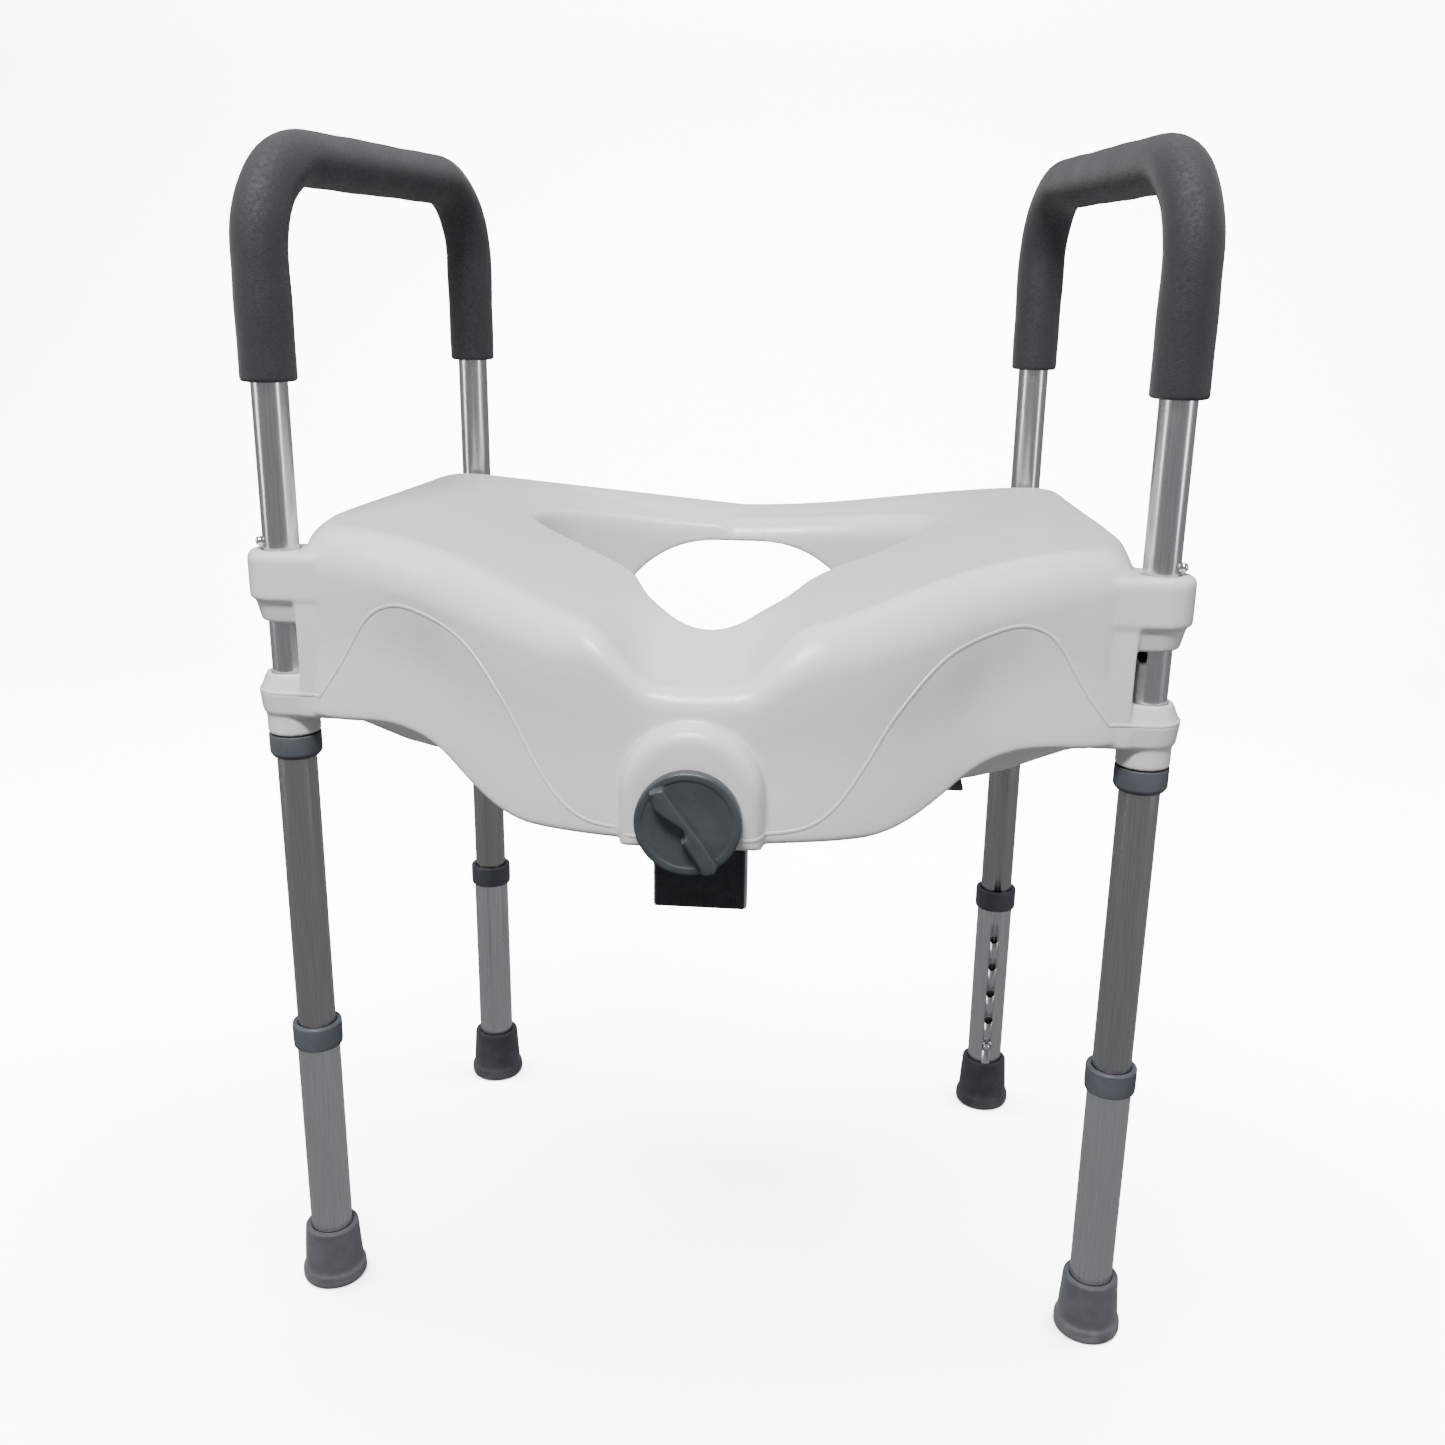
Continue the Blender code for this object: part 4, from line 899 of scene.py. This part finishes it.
def build_legs():
    for corner in CORNERS:
        axis = LEG_AXIS[corner]
        place = placed(*axis)
        heading = LEG_BUTTON_HEADINGS[corner]
        body = "leg_" + corner

        node = "leg_upper_tube_" + corner
        tube = tube_object(node, LEG_UPPER_R, place)
        drilled(tube, axis, heading, LEG_UPPER_R, [(LEG_BUTTON_Z, HOLE_R)])
        finish_piece(tube, "seat", "upper_tube", node)

        node = "leg_lower_tube_" + corner
        tube = tube_object(node, LEG_LOWER_R, place)
        holes = [(LEG_BUTTON_Z + i * LEG_HOLE_PITCH, HOLE_R) for i in range(5)]
        drilled(tube, axis, heading, LEG_LOWER_R, holes)
        finish_piece(tube, body, "lower_tube", node)

        node = "leg_collar_" + corner
        low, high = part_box(node)
        collar_r = (high.x - low.x) / 2
        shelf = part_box("leg_lower_tube_" + corner)[1].z + FIT
        bore = LEG_LOWER_R + FIT
        lip = LEG_UPPER_R + 0.0004
        corners = [(bore, low.z, 0.0004), (collar_r - 0.0002, low.z, 0.0009),
                   (collar_r, low.z + 0.0035, 0.0008), (collar_r, high.z, 0.0014),
                   (lip, high.z, 0.0005), (lip, shelf, 0), (bore, shelf, 0)]
        finish_piece(ring_object(node, corners, place), body, "grey_plastic", node)

        node = "leg_ferrule_" + corner
        low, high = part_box(node)
        bore = LEG_UPPER_R + FIT
        corners = [(bore, low.z, 0.0003), (collar_r - 0.0022, low.z, 0.0009),
                   (collar_r, low.z + 0.0028, 0.0012), (collar_r, high.z, 0.0006),
                   (bore, high.z, 0.0003)]
        finish_piece(ring_object(node, corners, place), "seat", "grey_plastic", node)

        node = "leg_foot_" + corner
        finish_piece(foot_object(node, place), body, "rubber", node)

        node = "leg_clip_" + corner
        clip = clip_object("spring_" + node, LEG_UPPER_R, LEG_BUTTON_Z, placed(*axis, heading))
        finish_piece(clip, "clip_leg_" + corner, "chrome", node)


# ---- handles
def handle_path(span, low, top_z, straight_steps):
    """Points up one side, round a bend, along the grip and down the other side, in the XZ plane."""
    top = top_z - HANDLE_BEND_R
    points = [Vector((0, 0, low + (top - low) * i / straight_steps)) for i in range(straight_steps)]
    for degrees in range(0, 91, 5):
        t = math.radians(degrees)
        x = HANDLE_BEND_R * (1 - math.cos(t))
        points.append(Vector((x, 0, top + HANDLE_BEND_R * math.sin(t))))
    bar = span - 2 * HANDLE_BEND_R
    for i in range(1, 12):
        points.append(Vector((HANDLE_BEND_R + bar * i / 24, 0, top_z)))
    mirrored = [Vector((span - p.x, 0, p.z)) for p in reversed(points)]
    return points + [Vector((span / 2, 0, top_z))] + mirrored


def sweep_ring(path, index, radius, sides=48):
    before = path[max(index - 1, 0)]
    after = path[min(index + 1, len(path) - 1)]
    tangent = (after - before).normalized()
    side = Vector((0, 1, 0))
    across = side.cross(tangent)
    return [path[index] + radius * (math.cos(t) * across + math.sin(t) * side)
            for t in full_turn(sides)]


def pipe_object(name, path, outer_radii, inner_radius, place):
    """Hollow bent pipe: outer skin at the given radii, inner skin, and an end face at each end."""
    last = len(path) - 1
    rings = [sweep_ring(path, i, outer_radii[i]) for i in range(last + 1)]
    rings += [sweep_ring(path, i, inner_radius) for i in range(last, -1, -1)]
    return add(name, to_mesh(loft(rings, closed_loop=True), name, 50), place)


def grip_radii(path, radius):
    """Foam radius along the grip: rolled ends and soft unevenness."""
    lengths = [0.0]
    for before, after in zip(path, path[1:]):
        lengths.append(lengths[-1] + (after - before).length)
    total = lengths[-1]
    radii = []
    for run in lengths:
        from_end = min(run, total - run)
        inside = 1 - min(from_end / GRIP_EDGE, 1.0)
        roll = GRIP_EDGE * (1 - math.sqrt(max(1 - inside ** 2, 0.0)))
        wave = 0.00018 * math.sin(run * 61.0) + 0.00014 * math.sin(run * 143.0 + 1.3)
        radii.append(radius - 0.0003 + wave - roll)
    return radii


def with_end_points(path, edge):
    """Add close points at both ends of a path, where an edge is rolled."""
    turns = [math.radians(a) for a in (0, 25, 45, 65, 90)]

    def close_points(tip, beyond):
        heading = (beyond - tip).normalized()
        return [tip + heading * edge * (1 - math.cos(t)) for t in turns]

    return close_points(path[0], path[1]) + path[1:-1] + close_points(path[-1], path[-2])[::-1]


def build_handles():
    for side in ("left", "right"):
        body = "handle_" + side
        front = LEG_AXIS["front_" + side]
        rear = LEG_AXIS["rear_" + side]
        span = (rear - front).length
        heading = math.degrees(math.atan2(rear.y - front.y, rear.x - front.x))
        place = placed(*front, heading)
        grip_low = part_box("handle_grip_" + side)[0].z
        tube_low, tube_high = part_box("handle_tube_" + side)
        top_z = tube_high.z - HANDLE_TUBE_R

        path = handle_path(span, tube_low.z, top_z, 24)
        radii = [HANDLE_TUBE_R] * len(path)
        tube = pipe_object("tube_handle_" + side, path, radii, HANDLE_TUBE_R - TUBE_WALL, place)
        for end in ("front_", "rear_"):
            corner = end + side
            drilled(tube, LEG_AXIS[corner], HANDLE_BUTTON_HEADINGS[corner], HANDLE_TUBE_R,
                    [(HANDLE_BUTTON_Z, HOLE_R)])
        corner, spare_heading = SPARE_HOLES[side]
        drilled(tube, LEG_AXIS[corner], spare_heading, HANDLE_TUBE_R,
                [(SPARE_HOLE_Z, SPARE_HOLE_R)])
        finish_piece(tube, body, "handle_tube", "handle_tube_" + side)

        path = with_end_points(handle_path(span, grip_low, top_z, 20), GRIP_EDGE)
        grip = pipe_object("foam_grip_" + side, path, grip_radii(path, GRIP_R),
                           HANDLE_TUBE_R + 0.0004, place)
        finish_piece(grip, body, "foam", "handle_grip_" + side)

        for end in ("front_", "rear_"):
            corner = end + side
            node = "handle_clip_" + corner
            clip_place = placed(*LEG_AXIS[corner], HANDLE_BUTTON_HEADINGS[corner])
            clip = clip_object("spring_" + node, HANDLE_TUBE_R, HANDLE_BUTTON_Z, clip_place)
            finish_piece(clip, "clip_handle_" + corner, "chrome", node)


# ---- clamp
def inset_rib(outline, share):
    """Outline drawn in from its edge: far on the flanks that face left, little elsewhere."""
    moved = []
    count = len(outline)
    for i, point in enumerate(outline):
        along = Vector(outline[(i + 1) % count]) - Vector(outline[i - 1])
        out = Vector((-along.y, along.x)).normalized()
        depth = 0.0008 + 0.0026 * max(-out.x * 0.8 - out.y * 0.6, 0.0)
        moved.append(Vector(point) - out * depth * share)
    return [(p.x, p.y) for p in moved]


def build_knob():
    low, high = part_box("clamp_knob")
    axis_z = (low.z + high.z) / 2
    radius = (high.x - low.x) / 2
    thickness = high.y - low.y - KNOB_RIB_HEIGHT
    place = Matrix.Translation((0, high.y, axis_z)) @ Matrix.Rotation(math.pi / 2, 4, 'X')
    corners = [(0, 0, 0), (radius - 0.003, 0, 0), (radius - 0.003, 0.0010, 0),
               (radius, 0.0010, 0.0010), (radius, thickness, 0.0022),
               (radius - 0.0042, thickness, 0.0008),
               (radius - 0.0052, thickness - 0.0006, 0.0006), (0, thickness - 0.0006, 0)]
    disc = lathe(rounded(corners, 5), 96)
    knob = add("grip_clamp_knob", to_mesh(disc, "knob", 50), place)

    outline = rounded([(x, z, 0.0022) for x, z in KNOB_RIB_OUTLINE], 4)
    base = thickness + 0.0012
    levels = [(thickness - 0.002, 0.0), (base, 0.0)]
    levels += [(base + (KNOB_RIB_HEIGHT - 0.0012) * math.sin(t), 1 - math.cos(t)) for t in QUARTER]
    rings = [[(x, -depth, z) for x, z in inset_rib(outline, share)] for depth, share in levels]
    rib = add("rib", to_mesh(loft(rings), "rib"), Matrix.Translation((0, high.y, axis_z)))
    combine(knob, [rib], 'UNION')
    bevel = knob.modifiers.new("edges", 'BEVEL')
    bevel.width = 0.0003
    bevel.segments = 2
    bevel.limit_method = 'ANGLE'
    bevel.angle_limit = math.radians(40)
    evaluated(knob)
    knob.data.shade_smooth()
    knob.data.set_sharp_from_angle(angle=math.radians(50))
    finish_piece(knob, "knob", "knob", "clamp_knob")


def threaded_screw():
    """Screw with rounded thread ridges and a chamfered tip."""
    low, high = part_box("clamp_screw")
    length = high.y - low.y
    sides = 40
    rings = []
    steps = int(length / THREAD_PITCH * 8)
    for k in range(steps + 1):
        y = length * k / steps
        ring = []
        for i in range(sides):
            turn = 2 * math.pi * i / sides
            phase = (y / THREAD_PITCH - i / sides) % 1.0
            radius = SCREW_R - 0.0007 * abs(2 * phase - 1) ** 1.2
            radius = min(radius, SCREW_R - 0.0012 + max(length - y, 0.0))
            ring.append((radius * math.cos(turn), y, radius * math.sin(turn)))
        rings.append(ring)
    place = Matrix.Translation((0, low.y, (low.z + high.z) / 2))
    screw = add("thread_clamp_screw", to_mesh(loft(rings), "screw", 60), place)
    finish_piece(screw, "knob", "steel", "clamp_screw")


def build_jaw():
    low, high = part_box("clamp_jaw")
    axis_z = middle("clamp_screw").z
    nut_low, nut_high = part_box("clamp_nut")
    jaw = soft_block("plate_clamp_jaw", low, (high.x, low.y + JAW_THICKNESS, high.z),
                     0.0012, 4)
    hub = soft_block("hub", (-0.012, low.y + JAW_THICKNESS - 0.003, axis_z - 0.012),
                     (0.012, high.y, axis_z + 0.0105), 0.001, 3)
    combine(jaw, [hub], 'UNION')
    half_flats = (nut_high.z - nut_low.z) / 2 + FIT
    turns = [math.pi / 3 * i for i in range(6)]
    radius = half_flats / math.cos(math.pi / 6)
    rings = [[(radius * math.cos(t), y, axis_z + radius * math.sin(t)) for t in turns]
             for y in (nut_low.y - FIT, high.y + 0.01)]
    pocket = add("pocket", to_mesh(loft(rings), "pocket"))
    hole = rod("jaw_hole", SCREW_R + 2 * FIT, (0, low.y - 0.01, axis_z), (0, high.y, axis_z))
    combine(jaw, [pocket, hole], 'DIFFERENCE')
    finish_piece(jaw, "jaw", "jaw", "clamp_jaw")

    low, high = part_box("clamp_pad")
    columns = 130
    rows = int(columns * (high.z - low.z) / (high.x - low.x))
    bm = bmesh.new()
    front = []
    for r in range(rows + 1):
        line = []
        for c in range(columns + 1):
            x = low.x + (high.x - low.x) * c / columns
            z = low.z + (high.z - low.z) * r / rows
            border = min(x - low.x, high.x - x, z - low.z, high.z - z)
            weave = (math.sin(math.pi * (x + z) / WEAVE_PITCH)
                     * math.sin(math.pi * (x - z) / WEAVE_PITCH))
            depth = (0.0008 - 0.00035 * weave * smoothstep(border / 0.0012)
                     + 0.0005 * smoothstep(1 - border / 0.0008))
            line.append(bm.verts.new((x, low.y + depth - 0.0004, z)))
        front.append(line)
    for r in range(rows):
        for c in range(columns):
            bm.faces.new((front[r][c], front[r][c + 1], front[r + 1][c + 1], front[r + 1][c]))
    rim = front[0] + [line[-1] for line in front[1:]]
    rim += front[-1][-2::-1] + [line[0] for line in front[-2:0:-1]]
    back = [bm.verts.new((v.co.x, high.y, v.co.z)) for v in rim]
    for i in range(len(rim)):
        j = (i + 1) % len(rim)
        bm.faces.new((rim[i], back[i], back[j], rim[j]))
    bm.faces.new(back)
    pad = add("face_clamp_pad", to_mesh(bm, "pad", 60))
    finish_piece(pad, "jaw", "pad", "clamp_pad")


def dress_hidden_nodes():
    """Hidden metal pieces keep their CAD shape."""
    names = ["clamp_washer", "clamp_retainer", "clamp_nut"]
    names += ["leg_foot_washer_" + corner for corner in CORNERS]
    for name in names:
        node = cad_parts[name]
        node.data.materials.clear()
        node.data.materials.append(SURFACES["steel"])


# ---- stage, light and camera
def build_stage():
    """Pale floor that sweeps up into a backdrop behind the seat."""
    bend_y = 1.6
    bend_r = 1.2
    turns = [math.radians(a) for a in range(6, 91, 6)]
    profile = [(-3.0, 0.0), (bend_y, 0.0)]
    profile += [(bend_y + bend_r * math.sin(t), bend_r * (1 - math.cos(t))) for t in turns]
    profile.append((bend_y + bend_r, 4.0))
    bm = bmesh.new()
    rows = [[bm.verts.new((x, y, z - 0.0002)) for y, z in profile] for x in (-4.0, 4.0)]
    for i in range(len(profile) - 1):
        bm.faces.new((rows[0][i], rows[1][i], rows[1][i + 1], rows[0][i + 1]))
    floor = add("studio_floor", to_mesh(bm, "studio_floor", 60))
    paint = Surface("pale_backdrop")
    clouds = paint.noise(1.5, 2.0)
    paint.colour(paint.blend(clouds, (0.86, 0.86, 0.86), (0.90, 0.90, 0.90)))
    paint.roughness(clouds, 0.85, 0.95)
    floor.data.materials.append(paint.material)
    # The bright floor is hidden from the seat, so it neither lights it nor shows in the tubes.
    floor.visible_diffuse = False
    floor.visible_glossy = False
    return floor


def add_light(name, place, target, size, power, colour=(1, 1, 1)):
    light = bpy.data.lights.new(name, 'AREA')
    light.shape = 'RECTANGLE'
    light.size, light.size_y = size
    light.energy = power
    light.color = colour
    lamp = bpy.data.objects.new(name, light)
    lamp.location = place
    lamp.rotation_euler = (Vector(target) - Vector(place)).to_track_quat('-Z', 'Y').to_euler()
    bpy.context.scene.collection.objects.link(lamp)
    return lamp


def build_light(floor):
    world = bpy.data.worlds.new("studio")
    world.use_nodes = True
    background = world.node_tree.nodes["Background"]
    background.inputs["Color"].default_value = (0.90, 0.91, 0.93, 1.0)
    background.inputs["Strength"].default_value = 0.32
    bpy.context.scene.world = world
    target = (0, 0, 0.45)
    add_light("key", (-0.25, -1.35, 2.35), target, (0.8, 0.40), 112)
    add_light("overhead", (0.0, 0.5, 2.5), target, (2.2, 1.2), 26)
    add_light("side", (-2.2, -0.7, 1.0), target, (0.30, 1.6), 14, (1.0, 0.99, 0.97))
    add_light("fill", (2.2, -0.9, 1.0), target, (0.30, 1.6), 14, (0.97, 0.98, 1.0))
    # These two lamps light only the floor, to match the photograph's white background.
    backdrop_only = bpy.data.collections.new("backdrop_only")
    backdrop_only.objects.link(floor)
    for name, place, aim, power in (("backdrop", (0.0, 1.0, 3.0), (0.0, 2.6, 0.9), 1300),
                                    ("floor_wash", (0.0, -0.3, 2.8), (0.0, 0.0, 0.0), 1000)):
        lamp = add_light(name, place, aim, (4.5, 2.0), power)
        lamp.light_linking.receiver_collection = backdrop_only


def build_camera():
    """Camera at the photograph's place: azimuth, elevation and roll, looking at the seat."""
    azimuth = math.radians(5.01)
    elevation = math.radians(16.79)
    roll = math.radians(0.76)
    ahead = Vector((-math.sin(azimuth) * math.cos(elevation),
                    math.cos(azimuth) * math.cos(elevation), -math.sin(elevation)))
    right = Vector((math.cos(azimuth), math.sin(azimuth), 0))
    up = right.cross(ahead)
    right, up = (math.cos(roll) * right + math.sin(roll) * up,
                 math.cos(roll) * up - math.sin(roll) * right)
    lens = bpy.data.cameras.new("camera")
    lens.sensor_width = 36.0
    lens.lens = 36.21
    camera = bpy.data.objects.new("camera", lens)
    place = Matrix((right, up, -ahead)).transposed().to_4x4()
    place.translation = (0.08502, CENTRE_Y - 1.01486, 0.69055)
    camera.matrix_world = place
    bpy.context.scene.collection.objects.link(camera)
    bpy.context.scene.camera = camera


build_camera()
build_light(build_stage())
build_shell()
build_bowl_pads()
build_legs()
build_handles()
build_knob()
threaded_screw()
build_jaw()
dress_hidden_nodes()
